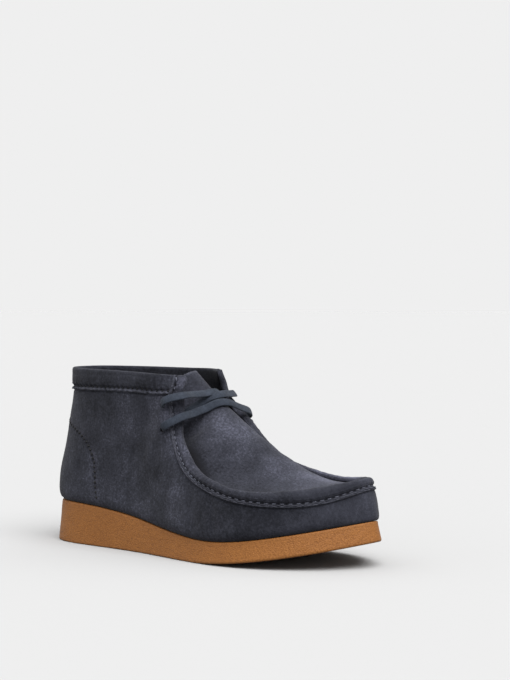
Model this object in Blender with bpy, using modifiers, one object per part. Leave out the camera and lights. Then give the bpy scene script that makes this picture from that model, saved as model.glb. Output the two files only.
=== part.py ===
"""Moccasin boot, right foot: crepe wedge outsole, insole, upper, apron with tongue, and laces.

Lengths in the tables are in millimetres, measured from the back of the heel (x), from the line
heel centre to second toe (y, lateral is negative) and from the floor (z). The meshes are in metres,
with the origin on the floor under the middle of the sole, +X to the toe and +Z up.
"""

import bmesh
import bpy
import numpy as np
from mathutils import Matrix

MM = 0.001
UP = np.array((0.0, 0.0, 1.0))

# Sole

SOLE_LENGTH = 298.0
TOE_TIP_Y = 7.0
# Half widths of the tread at distances from the heel
OUTLINE_COLUMNS = ("x", "lateral", "medial")
OUTLINE_ROWS = (
    (6, 16.9, 18.5),
    (15, 26.6, 27.6),
    (32, 33.8, 33.8),
    (55, 36.4, 35.2),
    (80, 38.0, 34.8),
    (108, 40.6, 34.4),
    (138, 46.4, 37.2),
    (168, 53.0, 44.0),
    (196, 56.4, 51.4),
    (222, 54.4, 53.6),
    (246, 46.6, 50.4),
    (266, 35.4, 42.8),
    (281, 22.2, 32.6),
    (292, 8.0, 20.4),
)
# Thickness of the wedge along the sole
WEDGE_COLUMNS = ("x", "thickness")
WEDGE_ROWS = (
    (0, 32.4),
    (35, 32.2),
    (70, 30.0),
    (100, 26.6),
    (130, 21.7),
    (155, 18.4),
    (180, 16.3),
    (210, 15.3),
    (250, 15.7),
    (298, 15.6),
)
TOE_SPRING = 19.0
SPRING_START = 172.0
SPRING_POWER = 1.66
SOLE_STATIONS = 40
# Side of the sole from tread to top: inset, share of the thickness, and a step up or down
SIDE_ROWS = (
    (2.2, 0.0, 0.0),
    (0.7, 0.0, 0.6),
    (0.0, 0.0, 2.0),
    (1.4, 0.5, 0.0),
    (2.6, 1.0, -2.4),
    (2.9, 1.0, -0.8),
    (3.8, 1.0, 0.0),
)

# Upper

WALL = 2.0
SEAT_GAP = 0.3
FEATHER_INSET = 4.2
ROLL_END = 0.3
# A row is a fan line of the wrap: where it starts on the sole, where it meets the raised seam
# (at the back the foot of the cuff), where the turned-in band (the cuff) ends, and its swell
WRAP_COLUMNS = ("foot_x", "seam_x", "seam_y", "seam_z", "edge_x", "edge_y", "edge_z", "swell")
WRAP_LATERAL = (
    (0, 15.4, 0, 122.2, 15.0, 0, 138.8, 3.0),
    (7, 21.0, -18.0, 122.3, 20.6, -17.8, 138.8, 3.0),
    (24, 40, -30.0, 122.6, 39.6, -29.4, 138.6, 2.8),
    (46, 70, -34.4, 122.8, 70, -33.6, 138.2, 2.2),
    (66, 102, -35.6, 122.8, 102, -34.6, 137.4, 1.6),
    (80, 124, -35.4, 122.6, 126.5, -34.0, 136.4, 1.4),
    (90, 136.4, -34.8, 122.4, 142.4, -23.5, 135.2, 1.4),
    (103, 139.2, -36.2, 104, 144, -26, 103, 1.8),
    (119, 144, -39.2, 87, 148.5, -29.5, 87.5, 2.2),
    (139, 158, -44.4, 66.4, 167, -37, 71.5, 2.6),
    (164, 181, -48.4, 53.0, 187, -43.6, 62, 3.0),
    (194, 209, -49.6, 44.6, 209, -45, 55.4, 3.0),
    (226, 236, -43.6, 43.0, 232, -39, 54.2, 2.8),
    (256, 261, -31, 45.6, 255, -28.5, 56.8, 2.6),
    (280, 279, -14.5, 50.2, 273.5, -13.2, 59.6, 1.6),
)
WRAP_TOE = ((298, 290.2, 4, 55.3, 287.2, 3.5, 62.8, 0.5),)
WRAP_MEDIAL = (
    (286, 284.6, 21, 54.0, 280.8, 18.6, 62.2, 1.4),
    (266, 266, 33, 50.0, 261, 29.5, 60.4, 2.6),
    (240, 243, 42.4, 48.6, 239.5, 36.8, 59.8, 2.8),
    (212, 216, 46.6, 52.6, 216, 41, 63, 3.0),
    (182, 190, 47, 63, 194, 40.4, 69.0, 3.0),
    (154, 168, 46, 81, 171, 35.5, 85.4, 2.6),
    (132, 153.5, 43.6, 98, 157, 32.5, 100.5, 2.0),
    (108, 140.5, 39.6, 111.5, 146.0, 29.8, 111.5, 1.6),
    (90, 130.6, 36.8, 123.8, 136.0, 27.5, 138.2, 1.4),
    (78, 119, 36.8, 123.8, 121, 35.4, 138.4, 1.4),
    (64, 99, 36.2, 123.4, 99, 35.2, 138.4, 1.6),
    (46, 70, 34.6, 123.2, 70, 33.8, 138.6, 2.2),
    (24, 40, 29.8, 122.8, 39.6, 29.2, 138.7, 2.8),
    (7, 21, 18.0, 122.4, 20.6, 17.8, 138.8, 3.0),
)
WRAP_ROWS = WRAP_LATERAL + WRAP_TOE + WRAP_MEDIAL
ROW_COUNT = len(WRAP_ROWS)
CORNER_LATERAL = 6
CORNER_MEDIAL = 24
# Steps of the wall across the band in front and across the cuff behind, in millimetres
BAND_COLUMNS = ("along", "front", "cuff")
BAND_ROWS = (
    (0.00, 0.3, 0.2),
    (0.04, 2.0, 1.0),
    (0.17, 2.2, 1.0),
    (0.21, 0.2, 0.2),
    (0.29, 0.0, 0.1),
    (0.37, 0.9, 1.2),
    (0.60, 1.3, 1.6),
    (0.85, 1.1, 1.5),
    (0.99, 0.9, 1.1),
)
# Places of a ring's points: 0 to 1 up the wall, to 2 across the band, to 3 round its curl
WALL_PLACES = (0.0, 0.14, 0.3, 0.5, 0.75, 0.92)
CURL_PLACES = (2.4, 2.75, 3.0)
CURL_LIFTS = (0.95, 0.6, 0.0)
INNER_PLACES = (3.0, 2.5, 2.0, 1.75, 1.5, 1.25, 1.0, 0.75, 0.5, 0.3, 0.14)
CURL_REACH = 3.2
CURL_DROP = 1.3
CURL_STARTS = (2.4, 4.6)
CUFF_EXTRA_WALL = 0.9
STATIONS_PER_ROW = 3

# Apron and tongue

APRON_THICKNESS = 1.8
APRON_GAP = 0.5
# Extra depth of the apron under the facings at the ankle: depth, middle row and spread in rows
APRON_TUCK = 2.4
TUCK_ROW = 2.2
TUCK_SPREAD = 1.2
# How far the apron already heads for its crest where it leaves the band, 0 to 1, below the laces
APRON_LEAD = 0.6
LEAD_BLEND = (2.6, 4.4)
# Crest of the apron from the tongue's top to the toe: x, y, z
CREST_ROWS = (
    (127.5, 8, 137.4),
    (144.2, 9, 121.8),
    (159.5, 9, 109.8),
    (174.8, 9, 98.6),
    (192, 8.6, 87.4),
    (210, 8, 77.2),
    (226, 7, 69.0),
    (242, 6, 62.6),
    (254, 5.4, 59.8),
    (264, 5, 59.0),
)
# Crest place of each fan line from the lateral corner to the toe; the medial side mirrors it
CREST_OF_ROW = (0, 1.05, 2.15, 3.3, 4.6, 5.9, 7.0, 8.2, 9.0, 9.0)
# How far the sides of the tongue's free end lie behind the facings, and in from them
TONGUE_BACK = {"lateral": 24.0, "medial": 18.0}
TONGUE_IN = 7.0
TONGUE_DROP = 8.0
TONGUE_BLEND = (0.0, 2.4)
# Rows from the corner over which the fan lines turn to meet at the crest's front end
POLE_BLEND = (6.0, 8.4)
WELD = 0.02
UNDER_PLACES = (1.25, 1.5, 1.72, 3.0)
OVER_PLACES = (0.1, 0.2, 0.32, 0.45, 0.58, 0.72, 0.86, 1.0)
APRON_STATIONS_PER_ROW = 3

# Insole and laces

INSOLE_INSET = 7.3
# Inset from the insole's own edge, and lift above its seat
INSOLE_ROWS = ((0.0, 0.0), (0.0, 2.2), (0.8, 3.0))
INSOLE_STATIONS = 26
LACE_WIDTH = 6.6
LACE_THICKNESS = 1.6
LACE_STATIONS = 18
# A point that every lace faces away from, inside the ankle
LACE_CENTRE = (108.0, 4.0, 84.0)
# The bar across the lower holes, and the two strands that cross above it, lateral end first
LACE_ROUTES = {
    "bar": (
        (134.6, -41.0, 95.2),
        (138.0, -41.8, 97.8),
        (142.2, -40.0, 100.2),
        (146.2, -35.0, 103.2),
        (148.0, -28.0, 105.3),
        (147.5, -20.0, 106.1),
        (148.0, -12.5, 107.8),
        (149.8, -5.5, 109.8),
        (153.4, 0.0, 112.8),
        (157.2, 6.2, 114.2),
        (159.2, 13.5, 113.0),
        (159.2, 21.5, 110.4),
        (158.6, 29.5, 108.2),
        (157.2, 37.8, 106.2),
        (154.8, 47.0, 104.4),
        (147.4, 47.8, 100.6),
    ),
    "upper_left": (
        (132.2, -38.8, 113.6),
        (135.0, -39.2, 115.8),
        (139.8, -39.2, 118.0),
        (144.5, -35.0, 119.6),
        (147.8, -27.8, 120.7),
        (146.2, -18.0, 120.6),
        (146.2, -9.0, 120.6),
        (146.4, 0.0, 121.0),
        (147.8, 8.0, 121.8),
        (147.0, 14.5, 120.0),
        (144.4, 21.0, 115.4),
        (141.0, 25.0, 110.6),
    ),
    "upper_right": (
        (139.6, -20.5, 104.6),
        (142.0, -16.0, 108.4),
        (143.0, -9.0, 111.6),
        (144.8, -2.5, 115.2),
        (148.6, 2.0, 118.0),
        (151.8, 8.0, 119.6),
        (151.6, 15.5, 120.0),
        (149.4, 24.0, 119.6),
        (147.0, 31.0, 119.4),
        (142.4, 38.8, 119.0),
        (136.4, 42.4, 118.4),
        (130.8, 42.2, 117.8),
    ),
}
HOLE_RADIUS = 2.3
HOLE_SIDES = 12
HOLE_DEPTH = 14.0
# Middles of the lace holes through the quarters
LACE_HOLES = {
    "lateral_upper": (132.2, -36.4, 113.6),
    "lateral_lower": (134.6, -38.8, 95.2),
    "medial_upper": (130.8, 38.6, 117.8),
    "medial_lower": (146.6, 43.0, 100.0),
}

SUEDE = ("suede", (0.045, 0.050, 0.072), 0.9)
CREPE = ("crepe_rubber", (0.36, 0.17, 0.06), 0.6)
LACE = ("woven_lace", (0.035, 0.050, 0.070), 0.8)
LEATHER = ("insole_leather", (0.20, 0.13, 0.08), 0.6)


def unit(vectors):
    return vectors / np.linalg.norm(vectors, axis=-1, keepdims=True)


def spline(knots, rows, at, closed=False):
    """Cubic spline through the rows at the knots; a closed one has one more knot than rows."""
    rows = np.asarray(rows, float)
    if rows.ndim == 1:
        return spline(knots, rows[:, None], at, closed)[:, 0]
    knots = np.asarray(knots, float)
    count = len(rows)
    step = np.diff(knots)
    matrix = np.zeros((count, count))
    right = np.zeros_like(rows)
    for i in range(count):
        if not closed and i in (0, count - 1):
            matrix[i, i] = 1.0
            continue
        before, after = step[i - 1], step[i]
        matrix[i, i - 1] += before
        matrix[i, i] += 2.0 * (before + after)
        matrix[i, (i + 1) % count] += after
        rise = (rows[(i + 1) % count] - rows[i]) / after - (rows[i] - rows[i - 1]) / before
        right[i] = 6.0 * rise
    bend = np.linalg.solve(matrix, right)
    at = np.asarray(at, float)
    at = np.mod(at - knots[0], knots[-1] - knots[0]) + knots[0] if closed else at
    left = np.clip(np.searchsorted(knots, at, side="right") - 1, 0, len(step) - 1)
    width = step[left][:, None]
    a = (at - knots[left])[:, None]
    b = width - a
    following = (left + 1) % count
    return (
        bend[left] * b**3 / (6.0 * width)
        + bend[following] * a**3 / (6.0 * width)
        + (rows[left] / width - bend[left] * width / 6.0) * b
        + (rows[following] / width - bend[following] * width / 6.0) * a
    )


def columns(names, rows):
    """The columns of a table by name."""
    return dict(zip(names, np.array(rows, float).T))


def smooth_step(value, low, high):
    ramp = np.clip((value - low) / (high - low), 0.0, 1.0)
    return ramp * ramp * (3.0 - 2.0 * ramp)


def hermite(start, start_pull, end, end_pull, q):
    """Cubic between two points that leaves and arrives along the two pulls."""
    return (
        start * (2 * q**3 - 3 * q**2 + 1)
        + start_pull * (q**3 - 2 * q**2 + q)
        + end * (3 * q**2 - 2 * q**3)
        + end_pull * (q**3 - q**2)
    )


class Outline:
    """Edge of the tread, from the heel tip round the lateral side to the toe and back."""

    SAMPLES = 1200

    def __init__(self):
        table = columns(OUTLINE_COLUMNS, OUTLINE_ROWS)
        lateral = np.c_[table["x"], -table["lateral"]]
        medial = np.c_[table["x"], table["medial"]][::-1]
        corners = np.vstack(((0.0, 0.0), lateral, (SOLE_LENGTH, TOE_TIP_Y), medial))
        chords = np.hypot(*(np.roll(corners, -1, 0) - corners).T)
        knots = np.r_[0.0, np.cumsum(chords)]
        at = np.linspace(0.0, knots[-1], self.SAMPLES, endpoint=False)
        self.points = spline(knots, corners, at, closed=True)
        steps = np.hypot(*(np.roll(self.points, -1, 0) - self.points).T)
        self.arcs = np.r_[0.0, np.cumsum(steps)]
        self.length = self.arcs[-1]
        along = np.roll(self.points, -1, 0) - np.roll(self.points, 1, 0)
        self.normals = unit(np.c_[along[:, 1], -along[:, 0]])
        if np.sum((self.points - self.points.mean(0)) * self.normals) < 0:
            self.normals = -self.normals
        self.toe = int(np.argmax(self.points[:, 0]))

    def at(self, arc, inset=0.0):
        """Points on the outline moved inwards, and the outward directions there."""
        arc = np.mod(arc, self.length)
        loop = np.c_[self.points, self.normals]
        loop = np.vstack((loop, loop[:1]))
        x, y, nx, ny = (np.interp(arc, self.arcs, column) for column in loop.T)
        normal = unit(np.c_[nx, ny])
        return np.c_[x, y] - inset * normal, normal

    def arc_at(self, x, side):
        """Arc length at a distance from the heel, on the lateral (-1) or the medial (1) side."""
        xs = self.points[:, 0]
        if side < 0:
            return np.interp(x, xs[: self.toe + 1], self.arcs[: self.toe + 1])
        return np.interp(-np.asarray(x, float), -xs[self.toe :], self.arcs[self.toe : -1])


def tread_height(x):
    raised = np.clip((x - SPRING_START) / (SOLE_LENGTH - SPRING_START), 0.0, None)
    return TOE_SPRING * raised**SPRING_POWER


def sole_top(x):
    wedge = columns(WEDGE_COLUMNS, WEDGE_ROWS)
    inside = np.clip(x, 0.0, SOLE_LENGTH)
    return tread_height(x) + spline(wedge["x"], wedge["thickness"], inside)


OUTLINE = Outline()
MIDDLE_Y = (OUTLINE.points[:, 1].max() + OUTLINE.points[:, 1].min()) / 2.0


class Fan:
    """The guide points of the wrap and the apron at fan lines counted from the heel centre."""

    def __init__(self, lines, lipped=False):
        lines = np.mod(np.asarray(lines, float), ROW_COUNT)
        wrap = columns(WRAP_COLUMNS, WRAP_ROWS)
        sides = np.where(np.arange(ROW_COUNT) <= len(WRAP_LATERAL), -1, 1)
        feet = np.array([OUTLINE.arc_at(x, side) for x, side in zip(wrap["foot_x"], sides)])
        even = OUTLINE.length / ROW_COUNT
        knots = np.arange(ROW_COUNT + 1)
        offsets = np.c_[feet - even * knots[:-1], wrap["swell"]]
        offset, swell = spline(knots, offsets, lines, closed=True).T
        feather, normal = OUTLINE.at(offset + even * lines, FEATHER_INSET)
        self.lines = lines
        self.swell = swell[:, None]
        self.foot = np.c_[feather, sole_top(feather[:, 0]) + SEAT_GAP]
        self.outward = np.c_[normal, np.zeros(len(lines))]
        self.front = (lines >= CORNER_LATERAL) & (lines <= CORNER_MEDIAL)
        guides = np.zeros((len(lines), 6))
        rows = np.stack([wrap[name] for name in WRAP_COLUMNS[1:7]], 1)
        front_rows = rows[CORNER_LATERAL : CORNER_MEDIAL + 1]
        back_rows = np.vstack((rows[CORNER_MEDIAL:], rows[: CORNER_LATERAL + 1]))
        front_at = lines[self.front] - CORNER_LATERAL
        back_at = np.mod(lines[~self.front] - CORNER_MEDIAL, ROW_COUNT)
        guides[self.front] = spline(np.arange(len(front_rows)), front_rows, front_at)
        guides[~self.front] = spline(np.arange(len(back_rows)), back_rows, back_at)
        self.seam = guides[:, :3]
        self.edge = guides[:, 3:]
        self.set_crest()
        self.curled = smooth_step(self.from_corner, *CURL_STARTS) * self.front[:, None]
        self.lip = np.ones_like(self.curled) if lipped else self.curled

    def set_crest(self):
        """Crest point, its upward normal and the direction from the edge to the crest."""
        half = (CORNER_MEDIAL - CORNER_LATERAL) / 2.0
        self.side = np.where(self.lines <= CORNER_LATERAL + half, -1.0, 1.0)[:, None]
        from_corner = half - np.abs(np.clip(self.lines - CORNER_LATERAL - half, -half, half))
        self.from_corner = from_corner[:, None]
        last = len(CREST_ROWS) - 1
        place = spline(np.arange(len(CREST_OF_ROW)), CREST_OF_ROW, from_corner)
        place = np.clip(place, 0.0, last)
        knots = np.arange(last + 1)
        step = 0.01
        self.crest = spline(knots, CREST_ROWS, place)
        ahead = spline(knots, CREST_ROWS, np.clip(place + step, 0.0, last))
        behind = spline(knots, CREST_ROWS, np.clip(place - step, 0.0, last))
        along = unit(ahead - behind)
        self.crest_up = unit(np.c_[-along[:, 2], np.zeros(len(along)), along[:, 0]])
        self.inward = unit(self.flat_to_crest(self.edge))

    def flat_to_crest(self, start):
        way = self.crest - start
        return way - self.crest_up * np.sum(way * self.crest_up, 1, keepdims=True)


def wall_point(fan, v):
    """Points of the smooth wall, from the sole (0) to the raised seam (1)."""
    height = (fan.seam - fan.foot)[:, 2:3]
    rise = np.clip(0.36 * height, 6.0, 15.0)
    chord = unit(fan.seam - fan.foot)
    swollen = fan.foot + fan.outward * (fan.swell + 0.6) + chord * rise
    pull = unit(chord + unit(fan.seam - swollen))
    if v <= ROLL_END:
        start_pull = (1.15 * fan.outward + 0.5 * UP) * 0.8 * rise
        return hermite(fan.foot, start_pull, swollen, pull * rise, v / ROLL_END)
    rest = np.linalg.norm(fan.seam - swollen, axis=1, keepdims=True)
    end_pull = unit(chord + 0.45 * unit(fan.edge - fan.seam))
    q = (v - ROLL_END) / (1.0 - ROLL_END)
    return hermite(swollen, pull * rest, fan.seam, end_pull * rest, q)


def band_point(fan, q):
    """Points of the smooth band, from the raised seam (0) to its edge (1) and round its curl (2)."""
    chord = unit(fan.seam - fan.foot)
    span = fan.edge - fan.seam
    length = np.linalg.norm(span, axis=1, keepdims=True)
    start = unit(0.55 * chord + unit(span))
    end = unit(2.0 * span - start * length)
    end = unit(end * (1.0 - 0.7 * fan.curled) + fan.inward * fan.curled)
    if q <= 1.0:
        return hermite(fan.seam, start * length, fan.edge, end * length, q)
    past = q - 1.0
    curl = fan.inward * CURL_REACH * past - fan.crest_up * CURL_DROP * past**2
    return fan.edge + fan.lip * curl + (1.0 - fan.lip) * end * 0.4 * past


def surface(fan, places):
    """The smooth wrap: wall from 0 to 1, band from 1 to 2 and its curl to 3."""
    points = [wall_point(fan, p) if p <= 1.0 else band_point(fan, p - 1.0) for p in places]
    return np.stack(points, 1)


def surface_normals(lines, places, lipped=False):
    """Outward normals of the smooth wrap."""
    step = 0.02
    places = np.asarray(places, float)
    ahead, behind = Fan(lines + step, lipped), Fan(lines - step, lipped)
    after = np.where(np.isin(places, (1.0, 3.0)), 0.0, step)
    before = np.where(places == 0.0, 0.0, step)
    fan = Fan(lines, lipped)
    along = surface(fan, places + after) - surface(fan, places - before)
    return unit(np.cross(surface(ahead, places) - surface(behind, places), along))


def grid(bm, points, closed_across=False, closed_along=False):
    """Vertices and quads of a grid of points, rows joined into loops where asked."""
    rows = [[bm.verts.new(point) for point in row] for row in points]
    row_pairs = len(rows) if closed_across else len(rows) - 1
    columns = len(rows[0]) if closed_along else len(rows[0]) - 1
    for i in range(row_pairs):
        here, there = rows[i], rows[(i + 1) % len(rows)]
        for k in range(columns):
            after = (k + 1) % len(here)
            bm.faces.new((here[k], there[k], there[after], here[after]))
    return rows


def zip_across(bm, loop):
    """Faces across a closed loop, each vertex joined to its mirror on the other side."""
    half = len(loop) // 2
    for i in range(half):
        corners = [loop[i], loop[i + 1], loop[-i - 1], loop[-i % len(loop)]]
        bm.faces.new(list(dict.fromkeys(corners)))


def make_material(name, colour, roughness):
    material = bpy.data.materials.new(name)
    material.use_nodes = True
    shader = material.node_tree.nodes["Principled BSDF"]
    shader.inputs["Base Color"].default_value = (*colour, 1.0)
    shader.inputs["Roughness"].default_value = roughness
    return material


def make_object(name, bm, collection, finish):
    """Object of a finished bmesh in millimetres, moved to the row's frame in metres."""
    if all(edge.is_manifold for edge in bm.edges):
        bmesh.ops.recalc_face_normals(bm, faces=bm.faces)
    for vertex in bm.verts:
        x, y, z = vertex.co
        vertex.co = ((x - SOLE_LENGTH / 2.0) * MM, (y - MIDDLE_Y) * MM, z * MM)
    mesh = bpy.data.meshes.new(name)
    bm.to_mesh(mesh)
    bm.free()
    mesh.shade_smooth()
    mesh.set_sharp_from_angle(angle=np.radians(50.0))
    mesh.materials.append(make_material(*finish))
    made = bpy.data.objects.new(name, mesh)
    collection.objects.link(made)
    return made


def sole_stations(count):
    """Arc lengths of outline points in mirrored pairs at like distances from the heel."""
    x = SOLE_LENGTH * (1.0 - np.cos(np.pi * np.arange(1, count) / count)) / 2.0
    lateral = OUTLINE.arc_at(x, -1)
    medial = OUTLINE.arc_at(x, 1)[::-1]
    return np.r_[0.0, lateral, OUTLINE.arcs[OUTLINE.toe], medial]


def outsole(collection):
    """Crepe wedge: tread, rounded edge, side wall drawn in towards the top, flat top."""
    stations = sole_stations(SOLE_STATIONS)
    loops = []
    for inset, share, step in SIDE_ROWS:
        points, _ = OUTLINE.at(stations, inset)
        low, high = tread_height(points[:, 0]), sole_top(points[:, 0])
        loops.append(np.c_[points, low + share * (high - low) + step])
    bm = bmesh.new()
    rows = grid(bm, np.stack(loops, 1), closed_across=True)
    zip_across(bm, [row[0] for row in rows])
    zip_across(bm, [row[-1] for row in rows])
    return make_object("outsole", bm, collection, CREPE)


def insole(collection):
    """Thin board inside the upper that follows the top of the wedge."""
    stations = sole_stations(INSOLE_STATIONS)
    loops = []
    for inset, lift in INSOLE_ROWS:
        points, _ = OUTLINE.at(stations, INSOLE_INSET + inset)
        loops.append(np.c_[points, sole_top(points[:, 0]) + SEAT_GAP + lift])
    bm = bmesh.new()
    rows = grid(bm, np.stack(loops, 1), closed_across=True)
    zip_across(bm, [row[0] for row in rows])
    zip_across(bm, [row[-1] for row in rows])
    return make_object("insole", bm, collection, LEATHER)


def upper_skin(lines):
    """Section rings of the upper: outer wall, seam ridge, band, curl, inner wall and foot."""
    fan = Fan(lines)
    half = (CORNER_MEDIAL - CORNER_LATERAL) / 2.0
    in_front = half - np.abs(lines - CORNER_LATERAL - half)
    in_front = np.where(lines > ROW_COUNT - 1, -1.0, in_front)
    front = smooth_step(in_front, -0.4, 0.4)[:, None]
    band = columns(BAND_COLUMNS, BAND_ROWS)
    outer = np.r_[WALL_PLACES, 1.0 + band["along"], CURL_PLACES]
    lift = np.zeros((len(lines), len(outer)))
    first, last = len(WALL_PLACES), len(WALL_PLACES) + len(BAND_ROWS)
    lift[:, first:last] = front * band["front"] + (1.0 - front) * band["cuff"]
    lift[:, last:] = lift[:, last - 1 : last] * np.array(CURL_LIFTS)
    skin = surface(fan, outer) + surface_normals(lines, outer) * lift[:, :, None]
    inner = np.array(INNER_PLACES, float)
    depth = np.full((len(lines), len(inner)), WALL)
    depth += (1.0 - front) * CUFF_EXTRA_WALL * (inner > 1.2)
    depth[:, 0] *= 0.8
    lining = surface(fan, inner) - surface_normals(lines, inner) * depth[:, :, None]
    foot = fan.foot - fan.outward * (WALL + 0.2)
    return np.concatenate((skin, lining, foot[:, None]), 1)


def station_lines(first, last, per_row):
    count = int((last - first) * per_row)
    return first + np.arange(count + 1) / per_row


def upper(collection, cutters):
    lines = station_lines(0, ROW_COUNT, STATIONS_PER_ROW)[:-1]
    bm = bmesh.new()
    grid(bm, upper_skin(lines), closed_across=True, closed_along=True)
    made = make_object("upper", bm, collection, SUEDE)
    for name, middle in LACE_HOLES.items():
        punch = lace_hole(name, middle, cutters)
        cut = made.modifiers.new(name, "BOOLEAN")
        cut.object = punch
        cut.operation = "DIFFERENCE"
    return made


def lace_hole(name, middle, cutters):
    """Punch through the quarter, square to the side of the boot."""
    bm = bmesh.new()
    turn = Matrix.Rotation(np.radians(90.0), 4, "X")
    place = Matrix.Translation(middle) @ turn
    bmesh.ops.create_cone(
        bm,
        cap_ends=True,
        segments=HOLE_SIDES,
        radius1=HOLE_RADIUS,
        radius2=HOLE_RADIUS,
        depth=HOLE_DEPTH,
        matrix=place,
    )
    punch = make_object(f"{name}_hole", bm, cutters, SUEDE)
    punch.hide_render = True
    punch.display_type = "WIRE"
    return punch


def ribbon(name, route, collection):
    """Flat lace along a route, its broad faces turned away from the middle of the ankle."""
    knots = np.arange(len(route))
    middle = spline(knots, route, np.linspace(0, len(route) - 1, LACE_STATIONS))
    along = unit(np.gradient(middle, axis=0))
    away = middle - np.array(LACE_CENTRE)
    away = unit(away - along * np.sum(away * along, 1, keepdims=True))
    across = np.cross(along, away) * LACE_WIDTH / 2.0
    lift = away * LACE_THICKNESS / 2.0
    corners = [middle + across - lift, middle + across + lift]
    corners += [middle - across + lift, middle - across - lift]
    bm = bmesh.new()
    rows = grid(bm, np.stack(corners, 1), closed_along=True)
    bm.faces.new(rows[0])
    bm.faces.new(reversed(rows[-1]))
    return make_object(name, bm, collection, LACE)


def apron_skin(lines):
    """Outer face of the apron and tongue, from under the band up to the crest."""
    fan = Fan(lines, lipped=True)
    normals = surface_normals(lines, UNDER_PLACES, lipped=True)
    tuck = APRON_TUCK * np.exp(-(((fan.from_corner - TUCK_ROW) / TUCK_SPREAD) ** 2))
    under = surface(fan, UNDER_PLACES) - normals * (WALL + APRON_GAP + tuck)[:, None]
    free = 1.0 - smooth_step(fan.from_corner, *TONGUE_BLEND)
    back = np.where(fan.side < 0, TONGUE_BACK["lateral"], TONGUE_BACK["medial"])
    shift = np.concatenate((-back, -fan.side * TONGUE_IN, np.full_like(back, -TONGUE_DROP)), 1)
    side = under + (free * shift)[:, None]
    start = side[:, -1]
    distance = np.linalg.norm(fan.crest - start, axis=1, keepdims=True)
    straight = (fan.crest - start) / distance
    lead = np.maximum(free, APRON_LEAD * smooth_step(fan.from_corner, *LEAD_BLEND))
    way = unit((1.0 - lead) * unit(start - side[:, -2]) + lead * straight)
    across = -fan.side * np.array((0.0, 1.0, 0.0))
    pole = smooth_step(fan.from_corner, *POLE_BLEND)
    arrive = unit((1.0 - pole) * across + pole * unit(fan.flat_to_crest(start)))
    over = [hermite(start, way * distance, fan.crest, arrive * distance, q) for q in OVER_PLACES]
    return np.concatenate((side, np.stack(over, 1)), 1)


def apron_tongue(collection):
    lines = station_lines(CORNER_LATERAL, CORNER_MEDIAL, APRON_STATIONS_PER_ROW)
    bm = bmesh.new()
    grid(bm, apron_skin(lines))
    bmesh.ops.remove_doubles(bm, verts=bm.verts, dist=WELD)
    made = make_object("apron_tongue", bm, collection, SUEDE)
    shell = made.modifiers.new("Thickness", "SOLIDIFY")
    shell.thickness = APRON_THICKNESS * MM
    shell.offset = -1.0
    return made


def laces(collection, cutters):
    """The bar, and the two crossing strands as one joined solid."""
    ribbon("lace_bar", LACE_ROUTES["bar"], collection)
    crossing = ribbon("lace_crossing", LACE_ROUTES["upper_left"], collection)
    strand = ribbon("upper_right_strand", LACE_ROUTES["upper_right"], cutters)
    strand.hide_render = True
    strand.display_type = "WIRE"
    join = crossing.modifiers.new("Strand", "BOOLEAN")
    join.object = strand
    join.operation = "UNION"


def main():
    for item in list(bpy.data.objects):
        bpy.data.objects.remove(item)
    boot = bpy.data.collections.new("moccasin_boot")
    cutters = bpy.data.collections.new("cutters")
    bpy.context.scene.collection.children.link(boot)
    bpy.context.scene.collection.children.link(cutters)
    outsole(boot)
    insole(boot)
    upper(boot, cutters)
    apron_tongue(boot)
    laces(boot, cutters)


main()
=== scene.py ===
# Moccasin boot in dark suede on a crepe wedge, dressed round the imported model.
# Lengths in the tables are in millimetres from the back of the heel, from the line heel centre to
# second toe (the outer side of this right boot is negative) and from the floor.

import math

import bmesh
import bpy
import numpy as np
from mathutils import Matrix, Vector, noise


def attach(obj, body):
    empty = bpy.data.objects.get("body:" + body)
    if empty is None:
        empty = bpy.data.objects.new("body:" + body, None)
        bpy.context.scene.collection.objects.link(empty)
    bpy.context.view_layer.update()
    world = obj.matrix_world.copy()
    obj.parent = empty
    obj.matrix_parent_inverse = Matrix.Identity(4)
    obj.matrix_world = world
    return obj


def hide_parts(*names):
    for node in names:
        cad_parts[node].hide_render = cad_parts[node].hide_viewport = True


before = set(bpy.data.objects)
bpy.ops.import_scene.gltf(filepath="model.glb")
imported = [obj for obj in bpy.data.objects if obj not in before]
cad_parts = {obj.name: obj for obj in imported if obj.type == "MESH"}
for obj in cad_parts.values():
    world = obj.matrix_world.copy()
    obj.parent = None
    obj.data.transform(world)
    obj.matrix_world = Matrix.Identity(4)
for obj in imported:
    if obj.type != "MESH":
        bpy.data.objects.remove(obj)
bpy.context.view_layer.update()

mm = 0.001
up = np.array((0.0, 0.0, 1.0))


# Camera and studio

studio = {
    "turn": 37.5,
    "aside": 34.31,
    "distance": 1250.0,
    "height": 188.0,
    "pitch": 1.2063,
    "focalPixels": 1634.0,
    "imageHeight": 680.0,
    "sensor": 36.0,
    # in metres
    "farClip": 100.0,
    "floorSize": 40.0,
    "backdrop": 0.863,
    # where each soft sun stands, how much it lights the floor, its angle in degrees
    "suns": (
        ("key", (0.55, -0.25, 1.0), 1.7, 50.0),
        ("top", (-0.1, 0.1, 1.0), 0.7, 90.0),
        ("fill", (-0.9, -0.9, 0.8), 0.1, 80.0),
    ),
}


# The sole's outline and heights

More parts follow.
